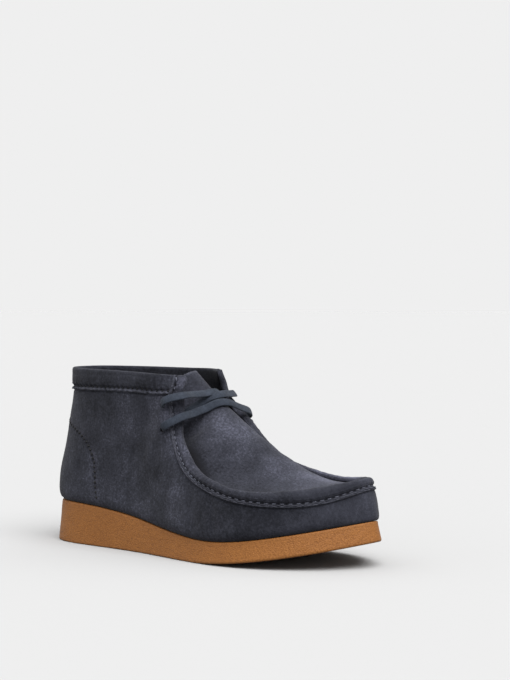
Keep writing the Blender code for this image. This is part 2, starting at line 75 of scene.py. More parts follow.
sole = {
    "length": 298.0,
    "toeTipY": 7.0,
    "toeSpring": 19.0,
    "springStart": 172.0,
    "springPower": 1.66,
    # distance from the heel, lateral and medial half width
    "outline": (
        (6, 16.9, 18.5),
        (15, 26.6, 27.6),
        (32, 33.8, 33.8),
        (55, 36.4, 35.2),
        (80, 38.0, 34.8),
        (108, 40.6, 34.4),
        (138, 46.4, 37.2),
        (168, 53.0, 44.0),
        (196, 56.4, 51.4),
        (222, 54.4, 53.6),
        (246, 46.6, 50.4),
        (266, 35.4, 42.8),
        (281, 22.2, 32.6),
        (292, 8.0, 20.4),
    ),
    # distance from the heel, thickness of the wedge
    "wedge": (
        (0, 32.4),
        (35, 32.2),
        (70, 30.0),
        (100, 26.6),
        (130, 21.7),
        (155, 18.4),
        (180, 16.3),
        (210, 15.3),
        (250, 15.7),
        (298, 15.6),
    ),
}


def unit(vectors):
    return vectors / np.linalg.norm(vectors, axis=-1, keepdims=True)


def spline(knots, rows, at, closed=False):
    # cubic spline through the rows; a closed one has one more knot than rows
    rows = np.asarray(rows, float)
    if rows.ndim == 1:
        return spline(knots, rows[:, None], at, closed)[:, 0]
    knots = np.asarray(knots, float)
    count = len(rows)
    step = np.diff(knots)
    matrix = np.zeros((count, count))
    right = np.zeros_like(rows)
    for i in range(count):
        if not closed and i in (0, count - 1):
            matrix[i, i] = 1.0
            continue
        before, after = step[i - 1], step[i]
        matrix[i, i - 1] += before
        matrix[i, i] += 2.0 * (before + after)
        matrix[i, (i + 1) % count] += after
        rise = (rows[(i + 1) % count] - rows[i]) / after - (rows[i] - rows[i - 1]) / before
        right[i] = 6.0 * rise
    bend = np.linalg.solve(matrix, right)
    at = np.asarray(at, float)
    at = np.mod(at - knots[0], knots[-1] - knots[0]) + knots[0] if closed else at
    left = np.clip(np.searchsorted(knots, at, side="right") - 1, 0, len(step) - 1)
    width = step[left][:, None]
    a = (at - knots[left])[:, None]
    b = width - a
    following = (left + 1) % count
    return (
        bend[left] * b**3 / (6.0 * width)
        + bend[following] * a**3 / (6.0 * width)
        + (rows[left] / width - bend[left] * width / 6.0) * b
        + (rows[following] / width - bend[following] * width / 6.0) * a
    )


def smoothStep(value, low, high):
    ramp = np.clip((value - low) / (high - low), 0.0, 1.0)
    return ramp * ramp * (3.0 - 2.0 * ramp)


def window(value, opens, closes):
    # rises from 0 to 1 over the first span and falls back over the second
    return smoothStep(value, *opens) * (1.0 - smoothStep(value, *closes))


def bell(gap, reach):
    return np.exp(-((gap / reach) ** 2))


def bellAt(points, middle, reach):
    # 1 at the middle, fading over the reach
    return bell(np.linalg.norm(points - np.array(middle, float), axis=1), reach)


def runAlong(path):
    # how much of a path is passed at each of its points
    return np.r_[0.0, np.cumsum(np.linalg.norm(np.diff(path, axis=0), axis=1))]


def columnsAt(at, knots, table):
    return np.stack([np.interp(at, knots, column) for column in table.T], 1)


def easeTable(rows, at):
    # eased steps between the rows of a two-column table
    table = np.array(rows, float)
    at = np.clip(at, table[0, 0], table[-1, 0])
    left = np.clip(np.searchsorted(table[:, 0], at, side="right") - 1, 0, len(table) - 2)
    share = smoothStep(at, table[left, 0], table[left + 1, 0])
    return table[left, 1] + (table[left + 1, 1] - table[left, 1]) * share


def hermite(start, startPull, end, endPull, q):
    return (
        start * (2 * q**3 - 3 * q**2 + 1)
        + startPull * (q**3 - 2 * q**2 + q)
        + end * (3 * q**2 - 2 * q**3)
        + endPull * (q**3 - q**2)
    )


class Outline:
    # edge of the tread, from the heel tip round the lateral side to the toe and back

    def __init__(self, samples=1600):
        table = np.array(sole["outline"], float)
        lateral = np.c_[table[:, 0], -table[:, 1]]
        medial = np.c_[table[:, 0], table[:, 2]][::-1]
        tip = (sole["length"], sole["toeTipY"])
        corners = np.vstack(((0.0, 0.0), lateral, tip, medial))
        chords = np.hypot(*(np.roll(corners, -1, 0) - corners).T)
        knots = np.r_[0.0, np.cumsum(chords)]
        at = np.linspace(0.0, knots[-1], samples, endpoint=False)
        self.points = spline(knots, corners, at, closed=True)
        steps = np.hypot(*(np.roll(self.points, -1, 0) - self.points).T)
        self.arcs = np.r_[0.0, np.cumsum(steps)]
        self.length = self.arcs[-1]
        along = np.roll(self.points, -1, 0) - np.roll(self.points, 1, 0)
        self.normals = unit(np.c_[along[:, 1], -along[:, 0]])
        if np.sum((self.points - self.points.mean(0)) * self.normals) < 0:
            self.normals = -self.normals
        self.toe = int(np.argmax(self.points[:, 0]))

    def at(self, arc, inset=0.0):
        arc = np.mod(arc, self.length)
        loop = np.c_[self.points, self.normals]
        loop = np.vstack((loop, loop[:1]))
        x, y, nx, ny = (np.interp(arc, self.arcs, column) for column in loop.T)
        normal = unit(np.c_[nx, ny])
        return np.c_[x, y] - np.asarray(inset).reshape(-1, 1) * normal, normal

    def arcAt(self, x, side):
        xs = self.points[:, 0]
        if side < 0:
            return np.interp(x, xs[: self.toe + 1], self.arcs[: self.toe + 1])
        return np.interp(-np.asarray(x, float), -xs[self.toe :], self.arcs[self.toe : -1])


def treadHeight(x):
    raised = (x - sole["springStart"]) / (sole["length"] - sole["springStart"])
    return sole["toeSpring"] * np.clip(raised, 0.0, None) ** sole["springPower"]


def soleTop(x):
    wedge = np.array(sole["wedge"], float)
    inside = np.clip(x, 0.0, sole["length"])
    return treadHeight(x) + spline(wedge[:, 0], wedge[:, 1], inside)


outline = Outline()
middleY = (outline.points[:, 1].max() + outline.points[:, 1].min()) / 2.0


def toFrame(points):
    return (np.asarray(points, float) - (sole["length"] / 2.0, middleY, 0.0)) * mm


# The wrap: where a fan line starts on the sole, where it meets the raised seam, where the
# turned-in band or the cuff ends, and its swell

wrap = {
    "lateral": (
        (0, 15.4, 0, 121.0, 15.0, 0, 138.8, 3.0),
        (7, 21.0, -18.0, 121.1, 20.6, -17.8, 138.8, 3.0),
        (24, 40, -30.0, 121.4, 39.6, -29.4, 138.6, 2.8),
        (46, 70, -34.4, 121.6, 70, -33.6, 138.2, 2.2),
        (66, 102, -35.6, 121.6, 102, -34.6, 137.4, 1.6),
        (80, 124, -35.4, 121.4, 126.5, -34.0, 136.4, 1.4),
        (90, 136.4, -34.8, 121.2, 142.4, -23.5, 135.2, 1.4),
        (103, 139.2, -36.2, 104, 144, -26, 103, 1.8),
        (119, 144, -39.2, 87, 148.0, -30.2, 87.5, 2.2),
        (139, 158, -44.4, 66.4, 165.2, -38.4, 70.4, 2.6),
        (164, 181, -48.5, 53.6, 185.4, -45, 60.2, 3.0),
        (194, 209, -49.8, 46.3, 208.6, -45.8, 54.2, 3.0),
        (226, 236, -43.6, 43.8, 232, -39.4, 53.4, 2.8),
        (256, 261, -31, 44.7, 255, -28.5, 55.9, 2.6),
        (280, 279, -14.5, 49.5, 273.5, -13.2, 59.3, 1.6),
    ),
    "toe": ((298, 290.2, 4, 55.3, 287.2, 3.5, 62.8, 0.5),),
    "medial": (
        (286, 284.6, 21, 54.0, 280.8, 18.6, 62.2, 1.4),
        (266, 266, 33, 50.0, 261, 29.5, 60.4, 2.6),
        (240, 243, 42.4, 48.6, 239.5, 36.8, 59.8, 2.8),
        (212, 216, 46.6, 52.6, 216, 41, 63, 3.0),
        (182, 190, 47, 63, 194, 40.4, 69.0, 3.0),
        (154, 168, 46, 81, 171, 35.5, 85.4, 2.6),
        (132, 153.5, 43.6, 98, 157, 32.5, 100.5, 2.0),
        (108, 140.5, 39.6, 111.5, 146.0, 29.8, 111.5, 1.6),
        (90, 130.6, 36.8, 122.6, 136.0, 27.5, 138.2, 1.4),
        (78, 119, 36.8, 122.6, 121, 35.4, 138.4, 1.4),
        (64, 99, 36.2, 122.2, 99, 35.2, 138.4, 1.6),
        (46, 70, 34.6, 122.0, 70, 33.8, 138.6, 2.2),
        (24, 40, 29.8, 121.6, 39.6, 29.2, 138.7, 2.8),
        (7, 21, 18.0, 121.2, 20.6, 17.8, 138.8, 3.0),
    ),
    "featherInset": 4.2,
    "seatGap": 0.3,
    # share of the wall that rolls out of the sole
    "rollEnd": 0.3,
    # how high it is fullest: share of the height, least, most
    "fullest": (0.36, 6.0, 15.0),
    # added to the swell of every row
    "swollen": 0.6,
    # pulls at the sole: outwards, upwards, both times
    "footPull": (1.15, 0.5, 0.8),
    # how far the wall leans to the band under the seam, and the band to the wall over it
    "seamLean": 0.45,
    "bandLean": 0.55,
    # what the curl takes from the band's own pull at its edge
    "bandFlat": 0.7,
    # how far the surface runs on past an edge that doesn't curl
    "pastEdge": 0.4,
    "curlReach": 3.2,
    "curlDrop": 1.3,
    # rows from the facing's corner over which the rim begins to curl in
    "curlStarts": (2.4, 4.6),
}
wrapRows = np.array(wrap["lateral"] + wrap["toe"] + wrap["medial"], float)
rowCount = len(wrapRows)
# the rows at the facings' top corners, lateral and medial
firstCorner, lastCorner = 6, 24


def toCorner(lines):
    return np.minimum(np.abs(lines - firstCorner), np.abs(lines - lastCorner))


apron = {
    # crest from the top of the tongue to the toe
    "crest": (
        (127.5, 8, 137.4),
        (144.2, 9, 121.8),
        (159.5, 9, 109.8),
        (174.8, 9, 98.6),
        (192, 8.6, 87.4),
        (210, 8, 77.2),
        (226, 7, 69.0),
        (242, 6, 62.6),
        (254, 5.4, 59.8),
        (264, 5, 59.0),
    ),
    "crestOfRow": (0, 1.05, 2.15, 3.3, 4.6, 5.9, 7.0, 8.2, 9.0, 9.0),
    "thickness": 1.8,
    "gap": 0.5,
    "wall": 2.0,
    # extra depth under the facings at the ankle, its middle row and spread
    "tuck": (2.4, 2.2, 1.2),
    "lead": 0.6,
    "leadBlend": (2.6, 4.4),
    "back": (24.0, 18.0),
    "inwards": 7.0,
    "drop": 8.0,
    # rows over which the tongue turns into the apron and the sides into the toe's pole
    "tongueBlend": (0.0, 2.4),
    "poleBlend": (6.0, 8.4),
    "underPlaces": (1.25, 1.5, 1.72, 3.0),
    "linesPerRow": 20,
    "overRows": 64,
    "weld": 0.02,
    # reach in fan lines of the averaging, and the rows over which it sets in
    "soften": 0.6,
    "softenStarts": (1.0, 2.4),
    "lumps": (0.3, 20.0, 11.0),
    "clouds": (0.3, 15.0, 6.0),
    # painted shade in the hollow beside the outer facing: how much darker, over how far, painted deep
    # shadow, over how far, clear of it
    "shade": (0.8, 8.5),
    "deep": (0.95, 4.0),
    "clear": 4.0,
    "shadeRows": 3.4,
    # heights over which that clear strip narrows downwards, and its share below; heights over
    # which the painted shade narrows at the tongue, and by how much
    "clearNarrows": (78.0, 98.0, 0.3),
    "shadeNarrows": (119.0, 125.0, 1.5),
    # from where to where the nap turns calm towards the toe, and how calm
    "calm": (190.0, 250.0, 0.8),
    # teeth of the tongue's pinked top: spacing, depth, way
    "pinkPitch": 1.5,
    "pinkDepth": 0.3,
    "pinkWay": (-0.6, 0.0, 0.8),
}


class Fan:
    # guide points of the wrap and the apron at fan lines counted from the heel centre

    def __init__(self, lines, lipped=False):
        lines = np.mod(np.asarray(lines, float), rowCount)
        first, last = firstCorner, lastCorner
        sides = np.where(np.arange(rowCount) <= len(wrap["lateral"]), -1, 1)
        feet = np.array([outline.arcAt(x, side) for x, side in zip(wrapRows[:, 0], sides)])
        even = outline.length / rowCount
        knots = np.arange(rowCount + 1)
        offsets = np.c_[feet - even * knots[:-1], wrapRows[:, 7]]
        offset, swell = spline(knots, offsets, lines, closed=True).T
        self.arc = offset + even * lines
        feather, normal = outline.at(self.arc, wrap["featherInset"])
        self.lines = lines
        self.swell = swell[:, None]
        self.foot = np.c_[feather, soleTop(feather[:, 0]) + wrap["seatGap"]]
        self.outward = np.c_[normal, np.zeros(len(lines))]
        self.front = (lines >= first) & (lines <= last)
        guides = np.zeros((len(lines), 6))
        rows = wrapRows[:, 1:7]
        frontRows = rows[first : last + 1]
        backRows = np.vstack((rows[last:], rows[: first + 1]))
        frontAt = lines[self.front] - first
        backAt = np.mod(lines[~self.front] - last, rowCount)
        guides[self.front] = spline(np.arange(len(frontRows)), frontRows, frontAt)
        guides[~self.front] = spline(np.arange(len(backRows)), backRows, backAt)
        self.seam = guides[:, :3]
        self.edge = guides[:, 3:]
        self.bandLength = np.linalg.norm(self.edge - self.seam, axis=1)
        self.setCrest()
        self.curled = smoothStep(self.fromCorner, *wrap["curlStarts"]) * self.front[:, None]
        self.lip = np.ones_like(self.curled) if lipped else self.curled

    def setCrest(self):
        half = (lastCorner - firstCorner) / 2.0
        self.side = np.where(self.lines <= firstCorner + half, -1.0, 1.0)[:, None]
        fromCorner = half - np.abs(np.clip(self.lines - firstCorner - half, -half, half))
        self.fromCorner = fromCorner[:, None]
        end = len(apron["crest"]) - 1
        place = spline(np.arange(len(apron["crestOfRow"])), apron["crestOfRow"], fromCorner)
        place = np.clip(place, 0.0, end)
        knots = np.arange(end + 1)
        step = 0.01
        self.crest = spline(knots, apron["crest"], place)
        ahead = spline(knots, apron["crest"], np.clip(place + step, 0.0, end))
        behind = spline(knots, apron["crest"], np.clip(place - step, 0.0, end))
        along = unit(ahead - behind)
        self.crestUp = unit(np.c_[-along[:, 2], np.zeros(len(along)), along[:, 0]])
        self.inward = unit(self.flatToCrest(self.edge))

    def flatToCrest(self, start):
        way = self.crest - start
        return way - self.crestUp * np.sum(way * self.crestUp, 1, keepdims=True)


def wallPoint(fan, v):
    height = (fan.seam - fan.foot)[:, 2:3]
    share, least, most = wrap["fullest"]
    rise = np.clip(share * height, least, most)
    chord = unit(fan.seam - fan.foot)
    swollen = fan.foot + fan.outward * (fan.swell + wrap["swollen"]) + chord * rise
    pull = unit(chord + unit(fan.seam - swollen))
    outwards, upwards, strength = wrap["footPull"]
    startPull = (outwards * fan.outward + upwards * up) * strength * rise
    rollEnd = wrap["rollEnd"]
    low = hermite(fan.foot, startPull, swollen, pull * rise, np.clip(v / rollEnd, 0.0, 1.0))
    rest = np.linalg.norm(fan.seam - swollen, axis=1, keepdims=True)
    endPull = unit(chord + wrap["seamLean"] * unit(fan.edge - fan.seam))
    q = np.clip((v - rollEnd) / (1.0 - rollEnd), 0.0, 1.0)
    high = hermite(swollen, pull * rest, fan.seam, endPull * rest, q)
    return np.where(v <= rollEnd, low, high)


def bandPoint(fan, q):
    chord = unit(fan.seam - fan.foot)
    span = fan.edge - fan.seam
    length = np.linalg.norm(span, axis=1, keepdims=True)
    start = unit(wrap["bandLean"] * chord + unit(span))
    end = unit(2.0 * span - start * length)
    end = unit(end * (1.0 - wrap["bandFlat"] * fan.curled) + fan.inward * fan.curled)
    across = hermite(fan.seam, start * length, fan.edge, end * length, np.minimum(q, 1.0))
    past = np.maximum(q - 1.0, 0.0)
    curl = fan.inward * wrap["curlReach"] * past - fan.crestUp * wrap["curlDrop"] * past**2
    return across + fan.lip * curl + (1.0 - fan.lip) * end * wrap["pastEdge"] * past


def wrapPoint(fan, places):
    # 0 to 1 up the wall, to 2 across the band or the cuff, to 3 round its curl
    places = np.asarray(places, float).reshape(-1, 1)
    wall = wallPoint(fan, np.minimum(places, 1.0))
    band = bandPoint(fan, np.maximum(places - 1.0, 0.0))
    return np.where(places <= 1.0, wall, band)


def wrapNormal(lines, places, lipped=False):
    step = 0.02
    places = np.asarray(places, float)
    fan = Fan(lines, lipped)
    after = np.where(np.isin(places, (1.0, 3.0)), 0.0, step)
    before = np.where(places <= 0.0, 0.0, step)
    along = wrapPoint(fan, places + after) - wrapPoint(fan, places - before)
    ahead, behind = Fan(lines + step, lipped), Fan(lines - step, lipped)
    return unit(np.cross(wrapPoint(ahead, places) - wrapPoint(behind, places), along))


# Shader building

class Value:
    # a socket that takes part in shader maths

    def __init__(self, finish, socket):
        self.finish = finish
        self.socket = socket

    def __add__(self, other):
        return self.finish.math("ADD", self, other)

    def __sub__(self, other):
        return self.finish.math("SUBTRACT", self, other)

    def __rsub__(self, other):
        return self.finish.math("SUBTRACT", other, self)

    def __mul__(self, other):
        return self.finish.math("MULTIPLY", self, other)

    __radd__ = __add__
    __rmul__ = __mul__

    def step(self, low, high):
        settings = {"interpolation_type": "SMOOTHSTEP"}
        sockets = {"Value": self, "From Min": low, "From Max": high}
        return self.finish.node("ShaderNodeMapRange", settings, sockets)


class Finish:
    # a material being made

    def __init__(self, name, roughness, **sockets):
        self.material = bpy.data.materials.new(name)
        self.material.use_nodes = True
        self.tree = self.material.node_tree
        self.shader = self.tree.nodes["Principled BSDF"]
        self.set("Roughness", roughness)
        for socket, value in sockets.items():
            self.set(socket.replace("_", " "), value)

    def node(self, kind, settings, sockets, output=0):
        made = self.tree.nodes.new(kind)
        for name, value in settings.items():
            setattr(made, name, value)
        for name, value in sockets.items():
            self.link(value, made.inputs[name])
        return Value(self, made.outputs[output])

    def math(self, operation, *values):
        return self.node("ShaderNodeMath", {"operation": operation}, dict(enumerate(values)))

    def link(self, value, socket):
        if isinstance(value, Value):
            self.tree.links.new(value.socket, socket)
        else:
            socket.default_value = value

    def set(self, name, value):
        self.link(value, self.shader.inputs[name])

    def place(self, size, stretch=(1.0, 1.0, 1.0)):
        # coordinates in units of size millimetres
        point = self.node("ShaderNodeTexCoord", {}, {}, "Object")
        scale = [1.0 / (mm * size * one) for one in stretch]
        return self.node("ShaderNodeMapping", {}, {"Vector": point, "Scale": scale})

    def noise(self, size, detail=3.0, rough=0.55, tall=1.0, distort=0.0, deep=1.0):
        sockets = {"Vector": self.place(size, (1.0, deep, tall)), "Scale": 1.0, "Detail": detail}
        sockets |= {"Roughness": rough, "Distortion": distort}
        return self.node("ShaderNodeTexNoise", {}, sockets)

    def layers(self, rows):
        # noises about zero, added up: the share of each, then what noise() takes
        layers = [(self.noise(*noiseRow) - 0.5) * share for share, *noiseRow in rows]
        total = layers[0]
        for layer in layers[1:]:
            total = total + layer
        return total

    def attribute(self, name):
        return self.node("ShaderNodeAttribute", {"attribute_name": name}, {}, "Fac")

    def mix(self, factor, first, second):
        settings = {"data_type": "RGBA", "clamp_factor": True}
        return self.node("ShaderNodeMix", settings, {0: factor, 6: first, 7: second}, 2)

    def bump(self, height, distance, strength, normal=None):
        sockets = {"Height": height, "Distance": distance * mm, "Strength": strength}
        if normal is not None:
            sockets["Normal"] = normal
        return self.node("ShaderNodeBump", {}, sockets)


def tint(*levels):
    # linear colour of a screen colour
    shares = [level / 255.0 for level in levels]
    return (*[v / 12.92 if v < 0.04045 else ((v + 0.055) / 1.055) ** 2.4 for v in shares], 1.0)


suedeLook = {
    "dark": tint(15, 16, 21),
    "middle": tint(36, 37, 44),
    "light": tint(72, 73, 85),
    "raw": tint(60, 61, 69),
    "lining": tint(52, 47, 47),
    # hole: near black for painted shade in needle holes, sewn grooves and the hollow beside the facing
    "hole": tint(6, 6, 9),
    # the nap's patches, clouds and streaks: share, size, detail, roughness, tallness, distortion
    "blotches": (
        (0.9, 34.0, 3.0, 0.55, 1.7, 0.8),
        (0.8, 11.0, 4.0, 0.6, 1.5, 0.6),
        (0.6, 4.5, 3.0, 0.6, 2.2, 0.5),
    ),
    # size, detail and roughness of the grain and of the fibres, and how far each lightens
    "grain": (1.8, 4.0, 0.75),
    "nap": (0.6, 3.0, 0.7),
    "grainShare": 2.4,
    "napShare": 1.4,
    # how strongly the blotches and the flecks show, and what the calm parts lose of them
    "blotch": 1.0,
    "fleck": 1.0,
    "calmed": 0.4,
    # lightness at which the dark turns middle and the middle light
    "low": (-0.75, 0.25),
    "high": (0.05, 1.2),
    "shader": {"Specular_IOR_Level": 0.08, "Sheen_Weight": 0.04, "Sheen_Roughness": 0.5},
}
apronLook = suedeLook | {"blotch": 0.6, "fleck": 0.9}


def suedeFinish(name, look, lined=False):
    finish = Finish(name, 0.92, **look["shader"])
    grain = finish.noise(*look["grain"])
    nap = finish.noise(*look["nap"])
    flecks = (grain - 0.5) * look["grainShare"] + (nap - 0.5) * look["napShare"]
    texture = finish.layers(look["blotches"]) * look["blotch"] + flecks * look["fleck"]
    # the nap attribute holds painted light and painted shade as well as the nap's own tone
    lightness = finish.attribute("nap") + texture * (1.0 - look["calmed"] * finish.attribute("calm"))
    colour = finish.mix(lightness.step(*look["low"]), look["dark"], look["middle"])
    colour = finish.mix(lightness.step(*look["high"]), colour, look["light"])
    worn = finish.attribute("raw") * (0.6 + (grain - 0.5) * 2.0)
    colour = finish.mix(worn, colour, look["raw"])
    # painted shade from the hole mask
    colour = finish.mix(finish.attribute("hole"), colour, look["hole"])
    if lined:
        hide = finish.mix(nap.step(0.3, 0.7), look["lining"], look["dark"])
        colour = finish.mix(finish.attribute("lining"), colour, hide)
    finish.set("Base Color", colour)
    fine = finish.bump(nap, 0.3, 0.6)
    finish.set("Normal", finish.bump(grain, 0.5, 0.5, fine))
    return finish.material


crepeLook = {
    "deep": tint(88, 51, 18),
    "middle": tint(113, 71, 30),
    "light": tint(134, 88, 42),
    "pebble": 1.05,
    "pebbleTall": 0.9,
    # size, detail, roughness, then how tall the wrinkles are drawn and how distorted
    "wrinkle": (0.95, 4.0, 0.75, 0.85, 0.3),
    "drift": (30.0, 2.0, 0.5),
    # what the wrinkles and pebbles give to the relief, and with the drift to the tone
    "relief": (0.8, 0.7),
    "tone": (1.7, 0.6, 0.3),
    # tones at which the deep colour turns middle and the middle light
    "low": (-0.1, 0.6),
    "high": (0.45, 1.15),
}


def crepeFinish(name, look):
    finish = Finish(name, 0.62, **{"Specular_IOR_Level": 0.2})
    place = finish.place(look["pebble"], (1.0, 1.0, look["pebbleTall"]))
    sockets = {"Vector": place, "Scale": 1.0, "Smoothness": 0.5}
    cells = finish.node("ShaderNodeTexVoronoi", {"feature": "SMOOTH_F1"}, sockets)
    wrinkle = finish.noise(*look["wrinkle"])
    drift = finish.noise(*look["drift"])
    wrinkleHeight, pebbleHeight = look["relief"]
    height = wrinkle * wrinkleHeight - cells * pebbleHeight
    wrinkleTone, pebbleTone, driftTone = look["tone"]
    shade = (wrinkle - 0.5) * wrinkleTone + (drift - 0.5) * driftTone
    shade = shade - (cells - 0.4) * pebbleTone + 0.5
    colour = finish.mix(shade.step(*look["low"]), look["deep"], look["middle"])
    colour = finish.mix(shade.step(*look["high"]), colour, look["light"])
    finish.set("Base Color", colour)
    finish.set("Normal", finish.bump(height, 0.5, 0.6))
    return finish.material


laceLook = {
    "dark": tint(22, 26, 33),
    "light": tint(54, 60, 71),
    # spacing of the slanting ribs and of the wales along the lace, and the ribs' slant
    "ribs": 0.9,
    "wales": 0.8,
    "slant": 0.9,
}


def laceFinish(name, look):
    # a flat weave: slanting ribs either side of the middle, from the lace's own UV in millimetres
    finish = Finish(name, 0.85, **{"Specular_IOR_Level": 0.12, "Sheen_Weight": 0.03})
    uv = finish.node("ShaderNodeTexCoord", {}, {}, "UV")
    along = finish.node("ShaderNodeSeparateXYZ", {}, {"Vector": uv}, "X")
    across = finish.node("ShaderNodeSeparateXYZ", {}, {"Vector": uv}, "Y")
    slanted = along + finish.math("ABSOLUTE", across) * look["slant"]
    ribs = finish.math("SINE", slanted * (math.tau / look["ribs"]))
    wales = finish.math("COSINE", across * (math.tau / look["wales"]))
    weave = (ribs * 0.5 + 0.5) * (wales * 0.3 + 0.7)
    fuzz = finish.noise(0.5, 3.0, 0.6)
    mottle = finish.noise(9.0) * 0.35 + (finish.noise(2.4) - 0.5) * 0.5
    shade = weave * 0.6 + (fuzz - 0.5) * 0.6 + mottle
    finish.set("Base Color", finish.mix(shade.step(0.1, 1.0), look["dark"], look["light"]))
    finish.set("Normal", finish.bump(weave + fuzz * 0.4, 0.18, 0.7))
    return finish.material


threadColours = {
    "light": (tint(46, 48, 57), tint(80, 82, 93)),
    # near black: the cuff's and counter's stitches, their own dark with painted shade of the holes they
    # lie in
    "dark": (tint(3, 3, 5), tint(9, 9, 13)),
}


def threadFinish(name, dark, light):
    finish = Finish(name, 0.75, **{"Specular_IOR_Level": 0.25})
    twist = finish.noise(0.6, 2.0, 0.6, deep=0.5)
    finish.set("Base Color", finish.mix(twist.step(0.35, 0.65), dark, light))
    return finish.material


insoleColours = (tint(96, 74, 54), tint(150, 120, 90))


def hideFinish(name, dark, light):
    finish = Finish(name, 0.55, **{"Specular_IOR_Level": 0.35})
    cells = finish.node("ShaderNodeTexVoronoi", {}, {"Vector": finish.place(1.3), "Scale": 1.0})
    stain = finish.noise(22.0, 4.0, 0.6)
    finish.set("Base Color", finish.mix((stain + (cells - 0.5) * 0.25).step(0.3, 0.75), dark, light))
    finish.set("Normal", finish.bump(cells, 0.12, 0.5))
    return finish.material


def plainFinish(name, colour, roughness):
    finish = Finish(name, roughness, **{"Specular_IOR_Level": 0.0})
    finish.set("Base Color", colour)
    return finish.material


# Making pieces

def addObject(name, data):
    made = bpy.data.objects.new(name, data)
    bpy.context.scene.collection.objects.link(made)
    return made


def meshObject(name, bm):
    mesh = bpy.data.meshes.new(name)
    bm.to_mesh(mesh)
    bm.free()
    return addObject(name, mesh)


def finishPiece(name, bm, material, slot, *nodes):
    piece = meshObject(name, bm)
    piece.data.materials.append(material)
    piece.data.shade_smooth()
    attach(piece, "root")
    if nodes:
        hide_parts(*nodes)
    print(name, len(piece.data.polygons), "faces")
    return piece


def mappedGrid(columns, rows, shape, weld):
    # a create_grid sheet put where shape(u, v) says; shape gives points, UV and named masks
    bm = bmesh.new()
    bm.loops.layers.uv.new("along")
    bmesh.ops.create_grid(bm, x_segments=columns, y_segments=rows, size=1.0, calc_uvs=True)
    mesh = bpy.data.meshes.new("sheet")
    bm.to_mesh(mesh)
    flat = np.zeros(len(mesh.vertices) * 3)
    mesh.vertices.foreach_get("co", flat)
    u, v = (flat.reshape(-1, 3)[:, :2].T + 1.0) / 2.0
    points, uv, masks = shape(u, v)
    mesh.vertices.foreach_set("co", toFrame(points).ravel())
    corners = np.zeros(len(mesh.loops), int)
    mesh.loops.foreach_get("vertex_index", corners)
    mesh.uv_layers[0].uv.foreach_set("vector", uv[corners].ravel())
    for name, values in masks.items():
        made = mesh.attributes.new(name, "FLOAT", "POINT")
        made.data.foreach_set("value", np.asarray(values, float).ravel())
    bm.clear()
    bm.from_mesh(mesh)
    bpy.data.meshes.remove(mesh)
    bmesh.ops.remove_doubles(bm, verts=bm.verts, dist=weld * mm)
    bmesh.ops.recalc_face_normals(bm, faces=bm.faces)
    return bm


def nearest(points, path):
    # distance of each point from a path, and how far along the path its nearest place lies
    path = np.asarray(path, float)
    best = np.full(len(points), 1e9)
    run = np.zeros(len(points))
    passed = 0.0
    for start, end in zip(path[:-1], path[1:]):
        way = end - start
        length = np.linalg.norm(way)
        share = np.clip((points - start) @ way / max(length**2, 1e-9), 0.0, 1.0)
        gap = np.linalg.norm(points - start - share[:, None] * way, axis=1)
        run = np.where(gap < best, passed + share * length, run)
        best = np.minimum(best, gap)
        passed += length
    return best, run


def cloudy(points, *layers):
    # soft lumps, each layer with its height, size and seed
    total = 0.0
    for height, size, seed in layers:
        shift = Vector((seed, 2.0 * seed, 3.0 * seed))
        noises = [noise.noise(Vector(point) / size + shift) for point in points]
        total = total + height * np.array(noises)
    return total


# Brushed patches of the nap, with patches of painted light and painted shade: middle, radius, how much
# lighter (or darker)

napAndLightPatches = (
    ((70, -42, 46), 26, 0.25),
    ((30, -34, 60), 20, 0.15),
    ((64, -38, 104), 24, -0.2),
    ((96, -38, 96), 22, 0.15),
    ((118, -40, 66), 30, -0.1),
    ((150, -50, 40), 20, 0.3),
    # the next two: painted shade on the front of the outer wall
    ((196, -58, 34), 26, -0.45),
    ((240, -50, 34), 26, -0.45),
    ((272, -26, 34), 18, -0.2),
    ((288, -6, 44), 16, 0.2),
    ((160, -12, 106), 22, 0.2),
    ((178, 4, 96), 22, 0.35),
    ((200, -26, 74), 26, -0.05),
    ((232, 4, 66), 24, 0.35),
    ((255, 8, 60), 20, 0.4),
    ((216, 30, 72), 22, 0.15),
    # the next three: painted light on the medial rim's rolled lip
    ((226, 38, 61), 12, 0.5),
    ((246, 36, 62), 12, 0.6),
    ((266, 29, 62), 12, 0.6),
    # painted shadow beside the medial facing; then painted light on the outer facing's strip and on its
    # top lobe
    ((122, 32, 126), 11, -0.9),
    ((140, -34, 106), 11, 0.35),
    ((150, -36, 84), 11, 0.3),
    ((141, -27, 131), 6, 0.7),
)


def napAndLightOf(points):
    total = np.zeros(len(points))
    for middle, radius, strength in napAndLightPatches:
        total += strength * bellAt(points, middle, radius)
    return total


# Soft creases: path, depth and width

wrapCreases = (
    (((196, -56, 24), (193, -54, 38), (190, -50, 48)), 0.5, 5.0),
    (((176, -54, 26), (172, -51, 42), (166, -47, 56)), 0.45, 6.0),
    (((118, -40, 108), (126, -41, 92), (130, -43, 76)), 0.5, 7.0),
    (((86, -38, 116), (92, -39, 100), (92, -40, 84)), 0.35, 8.0),
    (((44, -34, 60), (58, -38, 52), (74, -41, 50)), 0.4, 8.0),
    (((196, 52, 24), (192, 50, 40), (188, 48, 56)), 0.5, 5.5),
    (((172, 46, 30), (164, 46, 50), (160, 45, 66)), 0.45, 7.0),
    (((120, 39, 104), (128, 40, 90), (134, 40, 74)), 0.5, 7.0),
)
apronCreases = (
    (((176, -30, 86), (182, -10, 95), (186, 10, 92)), 0.7, 7.0),
    (((196, -36, 74), (204, -14, 80), (206, 14, 79)), 0.6, 7.0),
    (((150, -20, 112), (156, -2, 112), (158, 16, 108)), 0.4, 6.0),
    (((222, -30, 64), (228, -8, 67), (228, 16, 67)), 0.4, 8.0),
)


def creased(points, creases):
    # each crease has a low swelling on either side
    total = np.zeros(len(points))
    for path, depth, width in creases:
        gap = nearest(points, path)[0] / width
        total -= depth * (1.0 - 0.9 * gap**2) * bell(gap, 1.0)
    return total


# Upper

